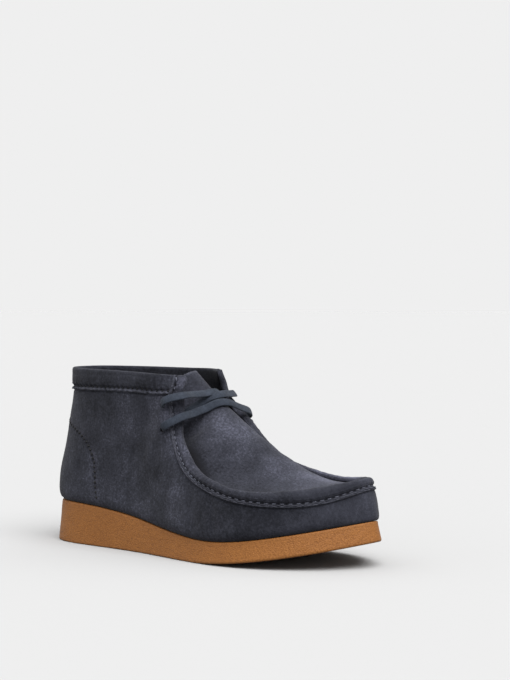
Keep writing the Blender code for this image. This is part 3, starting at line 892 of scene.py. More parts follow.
upper = {
    "linesPerRow": 32,
    # rows of faces up the wall, over the band, round its curl and down the inside
    "wallRows": 29,
    "bandRows": 44,
    "curlRows": 6,
    "innerRows": 8,
    "weld": 0.02,
    "wall": 2.0,
    "cuffWall": 0.9,
    "topRound": 1.7,
    # how far the cuff's and the facing's rims stand past their edges
    "rimOver": (1.8, 0.8),
    "lipRound": 0.6,
    "lipGap": 0.3,
    "liningTop": (108.0, 118.0),
    # the facing's strip: rows below the corner where it starts, its lean over the cuff, how far it
    # lies over the cuff and over which heights, and the rows over which it joins the raised seam
    "stripStart": 2.6,
    "stripLean": 0.45,
    "stripOver": 1.0,
    "stripRises": (119.0, 127.0),
    "stripJoins": (1.2, 2.0),
    # distance between stitches in front, by rows from the facing's corner, and along the cuff
    "pitch": ((0.0, 4.5), (3.0, 4.6), (5.0, 6.0), (6.5, 6.1), (7.5, 5.5), (9.0, 5.2)),
    "cuffPitch": 4.8,
    # the facing's cut edge sinks softly: depth, reach
    "edgeSoft": (0.9, 1.2),
    "cuffSlant": 0.12,
    "cuffShade": 0.3,
    # lumps: height, size, seed; and the places up the section between which they rise and fade
    "wallLumps": ((0.35, 24.0, 3.0), (0.2, 9.0, 8.0)),
    "wallSoft": ((0.02, 0.25), (0.8, 0.98)),
    "bandLumps": (0.3, 8.0, 14.0),
    "bandSoft": ((1.3, 1.6), (2.2, 2.6)),
    "rimLumps": (0.3, 6.0, 31.0),
    "rimLumpsFrom": (3.5, 6.0),
    "clouds": (0.3, 17.0, 5.0),
    # from where to where the nap turns calm towards the toe
    "calm": (200.0, 260.0),
    # the raw edges' unevenness: height and lengths of two waves, lumps
    "waves": (0.16, 2.3, 7.3),
    "rawLumps": ((0.5, 1.9, 21.0), (0.3, 7.0, 27.0)),
    # soft pushes that fill the heel out and round the facings' top corners: middle, way, reach
    "pushes": (
        ((14.0, -12.0, 54.0), (-1.6, -1.0, 0.0), 17.0),
        ((18.0, -16.0, 128.0), (1.3, 0.9, 0.0), 24.0),
        ((142.7, -23.8, 131.0), (0.9, 1.9, 0.3), 4.6),
        ((140.5, -27.0, 130.5), (0.5, -1.1, 0.3), 4.0),
        ((143.6, -21.8, 137.2), (-0.6, -1.6, -1.4), 2.4),
        ((143.8, -23.6, 125.0), (-1.1, -1.7, 0.0), 1.5),
        ((136.8, 27.6, 133.0), (0.8, -1.6, 0.2), 4.8),
        ((137.0, 26.0, 139.0), (-0.3, 0.5, -0.8), 3.4),
        ((290.0, 10.0, 42.0), (0.8, 0.8, 0.0), 20.0),
        ((122.0, -35.5, 122.0), (0.0, 0.0, -0.8), 12.0),
    ),
    # the needle's hole in the bar tack at the top of the facing, sunk and filled with painted shade:
    # place, reach, depth
    "tackHole": ((139.6, -30.3, 127.8), 1.0, 1.5),
}
frontSeam = {
    # distance from the raised seam, lift: two raw edges, the sewn groove, the rim
    "profile": (
        (-1.8, 0.0),
        (-0.6, -0.25),
        (0.0, -0.1),
        (0.3, 1.1),
        (0.6, 1.45),
        (0.85, 1.25),
        (1.05, 0.5),
        (1.25, 0.65),
        (1.5, 1.35),
        (1.8, 1.15),
        (2.2, 0.1),
        (2.6, -0.4),
        (3.3, -0.35),
        (4.0, 0.4),
        (5.2, 1.05),
        (7.3, 1.45),
        (10.0, 1.25),
        (13.0, 1.0),
    ),
    "stitchAt": 2.8,
    # the raw edges: from and to, how far each stitch draws them in, how they wander and swell,
    # and how much thinner each stitch makes them
    "edges": ((0.2, 0.8), (1.8, 2.4)),
    "drawnIn": 0.22,
    "wander": 1.0,
    "swell": 0.9,
    "thinned": 0.15,
    # needle holes: sharpness, distance, depth, reach; then the pucker's distance, depth, reach
    "sharp": 2,
    "hole": (2.8, 0.45, 0.6),
    "pucker": (4.4, 0.25, 1.2),
    # raw fibres: from, to, how many, how many fewer at a stitch
    "raw": (0.2, 1.9, 0.75, 0.25),
    # painted shade of the sewn groove: reach, overall, in the holes; and painted shadow below the
    # edges: how dark, distance, reach
    "dark": (0.6, 0.3, 0.5),
    "shadowBelow": (0.0, -0.3, 0.6),
}
cuffSeam = {
    # distance from the foot of the cuff, lift: the raw edge of the wall, the sewn groove, the cuff
    "profile": (
        (-1.6, 0.0),
        (-0.5, -0.35),
        (0.0, -0.1),
        (0.25, 0.75),
        (0.7, 1.15),
        (1.6, 1.2),
        (2.0, 0.85),
        (2.4, 0.3),
        (2.8, 0.1),
        (3.6, 0.3),
        (4.4, 0.95),
        (5.6, 1.35),
        (7.5, 1.6),
        (10.0, 1.6),
        (13.0, 1.3),
        (17.2, 1.0),
    ),
    "stitchAt": 3.0,
    "edges": ((0.1, 0.6), (1.9, 2.5)),
    "drawnIn": 0.0,
    "wander": 1.3,
    "swell": 1.2,
    "thinned": 0.25,
    "sharp": 3,
    "hole": (3.1, 0.9, 0.9),
    "pucker": (4.6, 0.35, 1.2),
    "raw": (0.1, 2.0, 0.7, 0.3),
    "dark": (1.0, 0.0, 1.0),
    "shadowBelow": (0.6, -0.3, 0.6),
}


def seamArcs():
    # arc length along the raised seam, and the stitches passed, at every hundredth of a row
    lines = np.arange(rowCount * 100 + 1) / 100.0
    fan = Fan(lines)
    steps = np.linalg.norm(np.diff(fan.seam, axis=0), axis=1)
    frontPitch = easeTable(upper["pitch"], fan.fromCorner[:, 0])
    pitch = np.where(fan.front, frontPitch, upper["cuffPitch"])[1:]
    return lines, np.r_[0.0, np.cumsum(steps)], np.r_[0.0, np.cumsum(steps / pitch)]


seamLines, seamLengths, seamCounts = seamArcs()


def seamArc(lines):
    return np.interp(np.asarray(lines, float), seamLines, seamLengths)


def stripEdge(medial):
    # the facing's outer edge, from the seam up over the cuff to the top of the collar
    corner = lastCorner if medial else firstCorner
    way = -1.0 if medial else 1.0
    below = corner + way * np.linspace(upper["stripStart"], 0.0, 14)[:-1]
    places = np.r_[np.ones(len(below)), np.linspace(1.0, 2.0, 9), 3.0]
    above = corner - way * upper["stripLean"] * np.clip(places[len(below) :] - 1.0, 0.0, 1.0)
    return wrapPoint(Fan(np.r_[below, above]), places)


def fromSeam(fan, lines, places, points):
    # signed distance from the raised seam, distance from the seam's foot, how far along the seam,
    # and whether a point belongs to the front
    wallReach = np.linalg.norm(fan.seam - fan.foot, axis=1)
    span = (places - 1.0) * np.where(places < 1.0, wallReach, fan.bandLength)
    gap = span.copy()
    arc = seamArc(lines)
    inStrip = (lines >= firstCorner) & (lines <= lastCorner)
    for medial, corner, way in ((False, firstCorner, 1.0), (True, lastCorner, -1.0)):
        offset = way * (lines - corner)
        near = (offset > -1.5) & (offset < upper["stripJoins"][1]) & (places > 0.9)
        lean = -upper["stripLean"] * np.clip(places - 1.0, 0.0, 1.0)
        inside = (places > 1.0) & (offset > lean)
        path = stripEdge(medial)
        distance, run = nearest(points[near], path)
        signed = np.where(inside[near], distance, -distance)
        blend = smoothStep(offset[near], *upper["stripJoins"])
        gap[near] = signed * (1.0 - blend) + span[near] * blend
        alongStrip = seamArc(corner + way * upper["stripStart"]) - way * run
        arc[near] = np.where(inside[near], alongStrip * (1.0 - blend) + arc[near] * blend, arc[near])
        inStrip |= near & inside
    return gap, span, arc, inStrip


def sewnEdge(look, gap, phase, ripple):
    # a seam's lift, raw fibres and painted shade, at a distance from it; phase is 1 at every needle
    # hole
    onEdges = window(gap, *look["edges"])
    hole = np.clip(phase, 0.0, 1.0) ** look["sharp"]
    moved = look["drawnIn"] * phase + look["wander"] * ripple
    lift = easeTable(look["profile"], gap + onEdges * moved)
    lift += onEdges * (look["swell"] * ripple - look["thinned"] * phase)
    holeAt, holeDepth, holeReach = look["hole"]
    puckerAt, puckerDepth, puckerReach = look["pucker"]
    lift -= holeDepth * hole * bell(gap - holeAt, holeReach)
    lift -= puckerDepth * phase * bell(gap - puckerAt, puckerReach)
    rawFrom, rawTo, rawMost, rawLess = look["raw"]
    raw = rawMask(gap, rawFrom, rawTo) * (rawMost - rawLess * phase)
    # painted shade in the sewn groove and its needle holes, and painted shadow under the raw edges
    reach, overall, inHoles = look["dark"]
    dark = bell(gap - holeAt, reach) * (overall + inHoles * hole)
    belowMost, belowAt, belowReach = look["shadowBelow"]
    dark += belowMost * bell(gap - belowAt, belowReach) * (0.6 + 2.0 * ripple)
    return lift, raw, dark


def upperLift(fan, lines, places, points):
    gap, span, arc, inStrip = fromSeam(fan, lines, places, points)
    count = np.interp(arc, seamLengths, seamCounts)
    height, short, long = upper["waves"]
    ripple = height * np.sin(arc / short) * np.sin(arc / long + 1.0)
    ripple = ripple + cloudy(points, *upper["rawLumps"])
    front, frontRaw, frontSeamShade = sewnEdge(frontSeam, gap, np.cos(math.tau * count), ripple)
    slanted = count + 0.5 + upper["cuffSlant"] * (span - cuffSeam["stitchAt"])
    cuff, cuffRaw, cuffSeamShade = sewnEdge(cuffSeam, span, np.cos(math.tau * slanted), ripple)
    front += cloudy(points, upper["rimLumps"]) * smoothStep(gap, *upper["rimLumpsFrom"])
    # the facing's cut edge at the throat is soft
    depth, reach = upper["edgeSoft"]
    toEdge = np.clip(fan.bandLength * (2.0 - places), 0.0, None)
    front -= depth * np.exp(-toEdge / reach) * (1.0 - fan.curled[:, 0])
    # and it lies over the end of the cuff
    over = upper["stripOver"] * smoothStep(points[:, 2], *upper["stripRises"])
    front += over * (1.0 - smoothStep(toCorner(lines), 1.0, 2.0))
    middle, reach, depth = upper["tackHole"]
    tack = bellAt(points, middle, reach)
    lift = np.where(inStrip, front, cuff) - depth * tack
    raw = np.where(inStrip, frontRaw, cuffRaw)
    # painted shade of the seams and of the tack's needle hole
    dark = np.maximum(np.where(inStrip, frontSeamShade, cuffSeamShade), tack)
    return lift, raw, np.clip(dark, 0.0, 1.0), arc


def rawMask(gap, low, high):
    return window(gap, (low, low + 0.5), (high - 0.4, high + 0.2))


counter = {
    # stitch row that holds the stiffener, lateral side
    "row": (
        (9.6, 0.0, 101.0),
        (13.0, -12.0, 99.2),
        (20.5, -21.5, 96.2),
        (31.3, -28.8, 92.3),
        (42.4, -32.5, 87.2),
        (50.7, -34.0, 81.2),
        (56.5, -34.7, 73.8),
        (60.0, -35.1, 65.8),
        (61.0, -35.2, 56.3),
        (61.3, -35.2, 47.0),
        (64.6, -35.3, 33.8),
    ),
    "spacing": 4.5,
    # the groove that the row draws: depth and reach
    "groove": (0.35, 1.3),
}


def counterRow(side):
    # side is 1 for the lateral row and -1 for its mirror image on the medial side
    return np.array(counter["row"], float) * (1.0, side, 1.0)


def upperRing():
    # places round the section, outside first, and whether each is inside
    wallPlaces = np.r_[np.linspace(0.0, 1.0, upper["wallRows"], endpoint=False) ** 0.8, 0.985, 0.994]
    bandPlaces = 1.0 + np.linspace(0.0, 1.0, upper["bandRows"], endpoint=False) ** 1.2
    curlPlaces = 2.0 + np.linspace(0.0, 1.0, upper["curlRows"], endpoint=False) ** 0.6
    lipPlaces = (3.0, 2.93, 2.82, 2.7, 2.55, 2.25)
    innerPlaces = np.r_[lipPlaces, np.linspace(1.95, 0.12, upper["innerRows"])]
    places = np.r_[wallPlaces, bandPlaces, curlPlaces, innerPlaces, 0.0, 0.0]
    inside = np.r_[np.zeros(len(places) - len(innerPlaces) - 2), np.ones(len(innerPlaces) + 1), 0.0]
    return places, inside > 0.5


def softNormal(lines, places):
    # normals that turn gently over the two corners of the throat
    spread = 0.3 * (1.0 - smoothStep(toCorner(lines), 0.2, 0.9))
    total = wrapNormal(lines, places)
    for share in (-1.0, -0.5, 0.5, 1.0):
        total = total + wrapNormal(lines + share * spread, places)
    return unit(total)


def pushed(points):
    for middle, way, reach in upper["pushes"]:
        points = points + bellAt(points, middle, reach)[:, None] * np.array(way)
    return points


def upperShape(u, v):
    ringPlaces, ringInside = upperRing()
    index = np.rint(v * (len(ringPlaces) - 1)).astype(int)
    places, inside = ringPlaces[index], ringInside[index]
    lines = u * rowCount
    fan = Fan(lines)
    front = fan.front * 1.0
    # the cuff folds over in a round top, so its flat part ends a little lower
    folded = np.clip(places - 1.0, 0.0, 1.0) * upper["topRound"] / fan.bandLength * (1.0 - front)
    places = np.where(front > 0.5, places, np.minimum(places, 2.0)) - folded
    points = wrapPoint(fan, places)
    normals = softNormal(lines, places)
    lift, raw, sunk, arc = upperLift(fan, lines, places, points)
    soft = cloudy(points, *upper["wallLumps"]) + creased(points, wrapCreases)
    grooveDepth, grooveReach = counter["groove"]
    for side in (1.0, -1.0):
        toRow = nearest(points, surfacePath(counterRow(side)))[0]
        soft -= grooveDepth * bell(toRow, grooveReach)
    lift = lift + soft * window(places, *upper["wallSoft"])
    lift += cloudy(points, upper["bandLumps"]) * window(places, *upper["bandSoft"])
    lipStart = np.where(front > 0.5, 3.0 - upper["lipRound"], 2.0)
    turn = np.clip((ringPlaces[index] - lipStart) / (3.0 - lipStart), 0.0, 1.0) * math.pi / 2.0
    depth = upper["wall"] + upper["cuffWall"] * (1.0 - front) * (places > 1.2)
    # where the rim curls in, its edge rolls down to the apron
    rolled = fan.curled[:, 0]
    middle = (lift - depth) / 2.0 * (1.0 - rolled) + (upper["lipGap"] - depth) * rolled
    outer = middle + (lift - middle) * np.cos(turn)
    inner = middle - (middle + depth) * np.cos(turn)
    points = points + normals * np.where(inside, inner, outer)[:, None]
    atEdge = np.full(len(lines), 2.0)
    endWay = unit(wrapPoint(fan, atEdge) - wrapPoint(fan, atEdge - 0.1))
    cuffOver, facingOver = upper["rimOver"]
    rimOver = (1.0 - front) * cuffOver + front * facingOver * (1.0 - rolled)
    points = pushed(points + endWay * (rimOver * np.sin(turn))[:, None])
    foot = fan.foot - fan.outward * (upper["wall"] + 0.2)
    atFoot = inside & (places == 0.0)
    points = np.where(atFoot[:, None], foot, points)
    covered = (1.0 - smoothStep(points[:, 2], *upper["liningTop"])) * inside
    cuffed = smoothStep(places, 1.1, 1.3) * (1.0 - front)
    masks = {
        # nap: the brushed nap, with painted light and painted shade from the patches
        "nap": napAndLightOf(points) + cloudy(points, upper["clouds"]) - upper["cuffShade"] * cuffed,
        "raw": raw * ~inside,
        # hole: painted shade in the seams' grooves and needle holes and under their raw edges
        "hole": sunk * ~inside,
        "lining": covered * (1.0 - smoothStep(places, 2.0, 2.3)),
        "calm": smoothStep(points[:, 0], *upper["calm"]),
    }
    return points, np.c_[arc, places * 20.0], masks


def surfacePath(rough, steps=60):
    # a path through a few points, laid on the smooth wrap
    knots = runAlong(rough)
    lines, places = onWrap(spline(knots, rough, np.linspace(0.0, knots[-1], steps)))
    return wrapPoint(Fan(lines), places)


scanLines = np.arange(0.0, rowCount, 0.1)
scanPlaces = np.linspace(0.0, 3.0, 181)
scanGrid = np.stack([wrapPoint(Fan(scanLines), np.full(len(scanLines), p)) for p in scanPlaces], 1)


def onWrap(points):
    # nearest line and place of the smooth wrap
    lines, places = [], []
    for point in points:
        gap = np.linalg.norm(scanGrid - point, axis=2)
        i, k = np.unravel_index(np.argmin(gap), gap.shape)
        lines.append(scanLines[i])
        places.append(scanPlaces[k])
    lines, places = np.array(lines), np.array(places)
    for reach in (0.05, 0.02):
        for way in range(2):
            tries = []
            for step in (-reach, 0.0, reach):
                triedLines = lines + (step if way == 0 else 0.0)
                triedPlaces = np.clip(places + (step * 0.2 if way else 0.0), 0.0, 3.0)
                gap = np.linalg.norm(wrapPoint(Fan(triedLines), triedPlaces) - points, axis=1)
                tries.append((gap, triedLines, triedPlaces))
            pick = np.argmin([one[0] for one in tries], axis=0)
            rows = np.arange(len(lines))
            lines = np.array([one[1] for one in tries])[pick, rows]
            places = np.array([one[2] for one in tries])[pick, rows]
    return lines, places


def makeUpper(material):
    ring, _ = upperRing()
    columns = rowCount * upper["linesPerRow"]
    bm = mappedGrid(columns, len(ring) - 1, upperShape, upper["weld"])
    piece = finishPiece("upper_suede", bm, material, "suede", "upper")
    punchHoles(piece)


def punchHoles(piece):
    # the lace holes, cut through the wall along its normal
    bm = bmesh.new()
    for centre in laces["holes"]:
        lines, places = onWrap(np.array((centre,)))
        turn = Vector(wrapNormal(lines, places)[0]).to_track_quat("Z", "Y").to_matrix().to_4x4()
        matrix = Matrix.Translation(toFrame(centre)) @ turn
        radius = laces["holeRadius"] * mm
        sizes = {"radius1": radius, "radius2": radius, "depth": laces["punchLength"] * mm}
        bmesh.ops.create_cone(bm, cap_ends=True, segments=24, matrix=matrix, **sizes)
    punch = meshObject("punch", bm)
    cut = piece.modifiers.new("Holes", "BOOLEAN")
    cut.operation = "DIFFERENCE"
    cut.object = punch
    cut.solver = "EXACT"
    bpy.context.view_layer.update()
    evaluated = piece.evaluated_get(bpy.context.evaluated_depsgraph_get())
    mesh = bpy.data.meshes.new_from_object(evaluated)
    piece.modifiers.clear()
    piece.data = mesh
    bpy.data.objects.remove(punch)
    print("lace holes punched", len(mesh.polygons), "faces")


# Apron and tongue

def apronSheet(lines, row):
    # the smooth apron: under the band, then over to the crest; also the fan and the share crossed
    fan = Fan(lines, lipped=True)
    tuck, tuckRow, tuckSpread = apron["tuck"]
    offset = apron["wall"] + apron["gap"] + tuck * bell(fan.fromCorner - tuckRow, tuckSpread)
    free = 1.0 - smoothStep(fan.fromCorner, *apron["tongueBlend"])
    back = np.where(fan.side < 0, apron["back"][0], apron["back"][1])
    shift = np.concatenate((-back, -fan.side * apron["inwards"], np.full_like(back, -apron["drop"])), 1)
    sides = []
    for place in apron["underPlaces"]:
        places = np.full(len(lines), place)
        under = wrapPoint(fan, places) - wrapNormal(lines, places, lipped=True) * offset
        sides.append(under + free * shift)
    start = sides[-1]
    distance = np.linalg.norm(fan.crest - start, axis=1, keepdims=True)
    straight = (fan.crest - start) / distance
    lead = np.maximum(free, apron["lead"] * smoothStep(fan.fromCorner, *apron["leadBlend"]))
    way = unit((1.0 - lead) * unit(start - sides[-2]) + lead * straight)
    across = -fan.side * np.array((0.0, 1.0, 0.0))
    pole = smoothStep(fan.fromCorner, *apron["poleBlend"])
    arrive = unit((1.0 - pole) * across + pole * unit(fan.flatToCrest(start)))
    under = len(sides) - 1
    q = np.clip((row - under) / apron["overRows"], 0.0, 1.0)[:, None]
    points = hermite(start, way * distance, fan.crest, arrive * distance, q)
    for k, side in enumerate(sides[:-1]):
        points = np.where((row == k)[:, None], side, points)
    return points, fan, q, pole


def apronShape(u, v):
    lines = firstCorner + u * (lastCorner - firstCorner)
    row = np.rint(v * (len(apron["underPlaces"]) - 1 + apron["overRows"])).astype(int)
    points, fan, q, pole = apronSheet(lines, row)
    fromCorner = fan.fromCorner[:, 0]
    # neighbouring fan lines are averaged, so that no fold runs along one of them
    reach = apron["soften"] * smoothStep(fromCorner, *apron["softenStarts"])
    shares = (-1.0, -0.66, -0.33, 0.33, 0.66, 1.0)
    for share in shares:
        points = points + apronSheet(np.clip(lines + share * reach, firstCorner, lastCorner), row)[0]
    points = points / (len(shares) + 1.0)
    over = smoothStep(q[:, 0], 0.0, 0.2) * smoothStep(fromCorner, 0.0, 0.8) * (1.0 - pole[:, 0])
    points[:, 2] += (creased(points, apronCreases) + cloudy(points, apron["lumps"])) * over
    pinked = np.cos(math.tau * points[:, 1] / apron["pinkPitch"]) * apron["pinkDepth"]
    atTop = 1.0 - smoothStep(fromCorner, 0.0, 0.06)
    points = points + np.array(apron["pinkWay"]) * (pinked * atTop)[:, None]
    # painted shade: the nap made darker in the hollow beside the outer facing, where shadow falls
    beside = np.linspace(firstCorner, firstCorner + apron["shadeRows"], 24)
    rim = wrapPoint(Fan(beside, lipped=True), np.full(len(beside), 2.5))
    low, high, least = apron["clearNarrows"]
    clear = apron["clear"] * (least + (1.0 - least) * smoothStep(points[:, 2], low, high))
    fromRim = np.clip(nearest(points, rim)[0] - clear, 0.0, None)
    low, high, more = apron["shadeNarrows"]
    fromRim = fromRim * (1.0 + more * smoothStep(points[:, 2], low, high))
    (shade, shadeReach), (deep, deepReach) = apron["shade"], apron["deep"]
    calmFrom, calmTo, calmMost = apron["calm"]
    masks = {
        # nap: brushed nap and patches of painted light and shade, with painted shade in the hollow
        "nap": napAndLightOf(points) + cloudy(points, apron["clouds"]) - shade * bell(fromRim, shadeReach),
        "raw": 0.8 * smoothStep(0.08 - fromCorner, 0.0, 0.06),
        # hole: painted deep shadow in that hollow
        "hole": deep * bell(fromRim, deepReach),
        "calm": calmMost * smoothStep(points[:, 0], calmFrom, calmTo),
    }
    return points, points[:, :2].copy(), masks


def makeApron(material):
    columns = (lastCorner - firstCorner) * apron["linesPerRow"]
    rows = len(apron["underPlaces"]) - 1 + apron["overRows"]
    bm = mappedGrid(columns, rows, apronShape, apron["weld"])
    bm.normal_update()
    facingUp = sum(face.normal.z * face.calc_area() for face in bm.faces)
    if facingUp < 0.0:
        bmesh.ops.reverse_faces(bm, faces=bm.faces)
    piece = finishPiece("apron_and_tongue", bm, material, "suede", "apron_tongue")
    shell = piece.modifiers.new("Thickness", "SOLIDIFY")
    shell.thickness = apron["thickness"] * mm
    shell.offset = -1.0
    return piece


# Outsole

outsole = {
    "stations": 420,
    "weld": 0.02,
    # how far up the side each row of the table below lies
    "sideAt": (0.0, 0.08, 0.15, 0.21, 0.28, 0.55, 0.82, 0.88, 0.92, 0.96, 1.0),
    # inset, share of the thickness, step up or down; the side from tread to top
    "side": (
        (1.5, 0.0, 0.0),
        (0.75, 0.0, 0.12),
        (0.3, 0.0, 0.4),
        (0.05, 0.0, 0.85),
        (0.0, 0.0, 1.6),
        (1.4, 0.5, 0.0),
        (2.5, 1.0, -2.6),
        (2.7, 1.0, -1.2),
        (3.0, 1.0, -0.5),
        (3.6, 1.0, -0.1),
        (4.6, 1.0, 0.0),
    ),
    "sideRows": 42,
    "flatRows": 14,
    "lumps": ((0.12, 3.2, 2.0), (0.25, 30.0, 4.0)),
}


def soleRows():
    return 2 * outsole["flatRows"] + outsole["sideRows"]


def soleShape(u, v):
    count, flatRows, sideRows = outsole["stations"], outsole["flatRows"], outsole["sideRows"]
    half = count // 2
    x = sole["length"] * (1.0 - np.cos(np.pi * np.arange(1, half) / half)) / 2.0
    lateral, medial = outline.arcAt(x, -1), outline.arcAt(x, 1)[::-1]
    stations = np.r_[0.0, lateral, outline.arcs[outline.toe], medial, outline.length]
    column = np.rint(u * count).astype(int)
    arc, mirror = stations[column], stations[count - column]
    row = np.rint(v * soleRows()).astype(int)
    along = np.clip((row - flatRows) / sideRows, 0.0, 1.0)
    inset, share, step = columnsAt(along, outsole["sideAt"], np.array(outsole["side"], float)).T
    edge, normal = outline.at(arc, inset)
    far, _ = outline.at(mirror, inset)
    # the tread and the top close along the line halfway to the other side
    below = np.clip(1.0 - row / flatRows, 0.0, 1.0)
    above = np.clip((row - flatRows - sideRows) / flatRows, 0.0, 1.0)
    inwards = np.maximum(below, above)[:, None] * 0.5
    flat = edge * (1.0 - inwards) + far * inwards
    low, high = treadHeight(flat[:, 0]), soleTop(flat[:, 0])
    points = np.c_[flat, low + share * (high - low) + step]
    lumps = cloudy(points, *outsole["lumps"]) * window(along, (0.05, 0.2), (0.8, 0.95))
    points[:, :2] += normal * lumps[:, None]
    return points, np.c_[arc, points[:, 2]], {}


def makeSole(material):
    bm = mappedGrid(outsole["stations"], soleRows(), soleShape, outsole["weld"])
    return finishPiece("crepe_wedge", bm, material, "crepe_rubber", "outsole")


# Laces

laces = {
    "holes": ((132.2, -36.4, 113.6), (134.6, -38.8, 95.2), (130.8, 38.6, 117.8), (146.6, 43.0, 100.0)),
    "holeRadius": 2.3,
    "punchLength": 12.0,
    "width": 6.2,
    "thickness": 1.25,
    # the section: powers that square its sides and its faces, and its hollow middle
    "square": (0.7, 0.4),
    "cup": 0.25,
    "around": 24,
    "perRoutePoint": 10,
    # in the holes: width, how much thicker, and where the gathering starts and ends
    "holeWidth": 4.0,
    "holeThicker": 0.5,
    "gather": (4.0, 11.0),
    "weld": 0.01,
    # from each end, how far the lace keeps the lie with which it dips into its hole
    "dip": 13.0,
    "centre": (108.0, 4.0, 84.0),
    "bar": (
        (134.2, -30.0, 95.0),
        (134.6, -35.6, 95.2),
        (135.4, -40.4, 95.9),
        (138.6, -41.6, 98.0),
        (142.4, -40.0, 100.3),
        (146.2, -35.0, 103.2),
        (148.0, -28.0, 105.3),
        (147.5, -20.0, 106.1),
        (148.0, -12.5, 107.8),
        (149.8, -5.5, 109.8),
        (153.4, 0.0, 112.8),
        (157.2, 6.2, 114.2),
        (159.2, 13.5, 113.0),
        (159.2, 21.5, 110.4),
        (158.6, 29.5, 108.2),
        (157.2, 37.8, 106.2),
        (153.0, 45.6, 103.4),
        (147.6, 46.6, 100.8),
        (146.6, 41.8, 100.0),
        (146.0, 36.0, 99.6),
    ),
    "upperLeft": (
        (131.9, -28.0, 113.4),
        (132.2, -33.4, 113.5),
        (133.0, -38.0, 114.1),
        (136.0, -39.8, 116.2),
        (140.2, -39.0, 118.1),
        (144.5, -35.0, 119.6),
        (147.8, -27.8, 120.7),
        (146.2, -18.0, 120.6),
        (146.2, -9.0, 120.6),
        (146.4, 0.0, 121.0),
        (147.8, 8.0, 121.8),
        (147.0, 14.5, 120.0),
        (144.4, 21.0, 115.4),
        (141.0, 25.0, 110.6),
    ),
    "upperRight": (
        (139.6, -20.5, 104.6),
        (142.0, -16.0, 108.4),
        (143.0, -9.0, 111.6),
        (144.8, -2.5, 115.2),
        (148.6, 2.0, 118.0),
        (151.8, 8.0, 119.6),
        (151.6, 15.5, 120.0),
        (149.4, 24.0, 119.6),
        (147.0, 31.0, 119.4),
        (142.4, 38.8, 119.0),
        (136.4, 42.4, 118.4),
        (131.2, 42.0, 117.8),
        (130.6, 38.0, 117.6),
        (130.2, 32.0, 117.4),
    ),
    # whether each run's start and end go into a hole
    "narrowEnds": {"bar": (True, True), "upperLeft": (True, False), "upperRight": (False, True)},
}


def rounded(value, power):
    return np.sign(value) * np.abs(value) ** power


def laceTrace(name):
    # the run's middle line, closely spaced: places, points, lengths passed, ways along and across
    route = laces[name]
    steps = np.arange(0, len(route) - 1 + 0.05, 0.05)
    trace = spline(np.arange(len(route)), route, steps)
    lengths = runAlong(trace)
    along = unit(np.gradient(trace, axis=0))
    across = unit(np.cross(along, trace - np.array(laces["centre"])))
    # near a hole the lace keeps the lie that it has at the start of its dip
    start, end = laces["narrowEnds"][name]
    first = np.searchsorted(lengths, laces["dip"]) if start else 0
    last = np.searchsorted(lengths, lengths[-1] - laces["dip"]) if end else len(lengths) - 1
    dips = [(k, k + 1) for k in range(first - 1, -1, -1)]
    dips += [(k, k - 1) for k in range(last + 1, len(lengths))]
    for k, before in dips:
        across[k] = unit(across[before] - along[k] * (across[before] @ along[k]))
    return steps, lengths, along, across


def laceShape(name):
    route = laces[name]
    steps, lengths, alongWays, acrossWays = laceTrace(name)

    def shape(u, v):
        at = u * (len(route) - 1)
        run = np.interp(at, steps, lengths)
        along = unit(columnsAt(at, steps, alongWays))
        across = columnsAt(at, steps, acrossWays)
        across = unit(across - along * np.sum(across * along, 1, keepdims=True))
        gather = np.ones(len(u))
        for narrow, fromEnd in zip(laces["narrowEnds"][name], (run, lengths[-1] - run)):
            if narrow:
                gather = np.minimum(gather, smoothStep(fromEnd, *laces["gather"]))
        width = laces["holeWidth"] + (laces["width"] - laces["holeWidth"]) * gather
        thick = laces["thickness"] * (1.0 + laces["holeThicker"] * (1.0 - gather))
        turn = v * math.tau
        sidePower, facePower = laces["square"]
        sideways = rounded(np.cos(turn), sidePower)
        lifted = rounded(np.sin(turn), facePower)
        lift = lifted * thick / 2.0 + laces["cup"] * (1.0 - sideways**2)
        points = spline(np.arange(len(route)), route, at)
        points = points + across * (sideways * width / 2.0)[:, None]
        points = points + np.cross(across, along) * lift[:, None]
        return points, np.c_[run, sideways * width / 2.0], {}

    return shape


def makeLaces(material):
    pieces = {"bar": "lace_bar", "upperLeft": "lace_crossing", "upperRight": "lace_crossing"}
    for name, node in pieces.items():
        columns = (len(laces[name]) - 1) * laces["perRoutePoint"]
        bm = mappedGrid(columns, laces["around"], laceShape(name), laces["weld"])
        bmesh.ops.holes_fill(bm, edges=[edge for edge in bm.edges if edge.is_boundary])
        finishPiece(f"{name}_lace", bm, material, "woven_lace", node)


# Stitches

threads = {
    "segments": (6, 7),
    # how far a thread's ends bend down, in radii
    "bend": 0.5,
    # of each row: length and radius of a thread, its slant in degrees, how far it lies sunk
    "front": {"length": 2.7, "radius": 0.36, "slant": 0.0, "sunk": 0.2},
    "cuff": {"length": 2.7, "radius": 0.72, "slant": 14.0, "sunk": 0.2},
    "counter": {"length": 2.8, "radius": 1.0, "slant": 28.0, "sunk": 0.3},
    "unevenFront": (0.5, 5.0, 41.0),
    "clearOfCorner": 0.15,
    # the bar tack at the top of the facing: two ends and a radius each, lifted onto the leather
    "tackLift": 1.9,
    "tack": (
        (((138.9, -28.2, 132.9), (139.8, -29.1, 130.6)), 0.42),
        (((140.5, -28.4, 127.6), (141.3, -27.9, 127.0)), 0.5),
        (((138.9, -31.4, 126.0), (139.3, -31.6, 125.0)), 0.45),
    ),
}


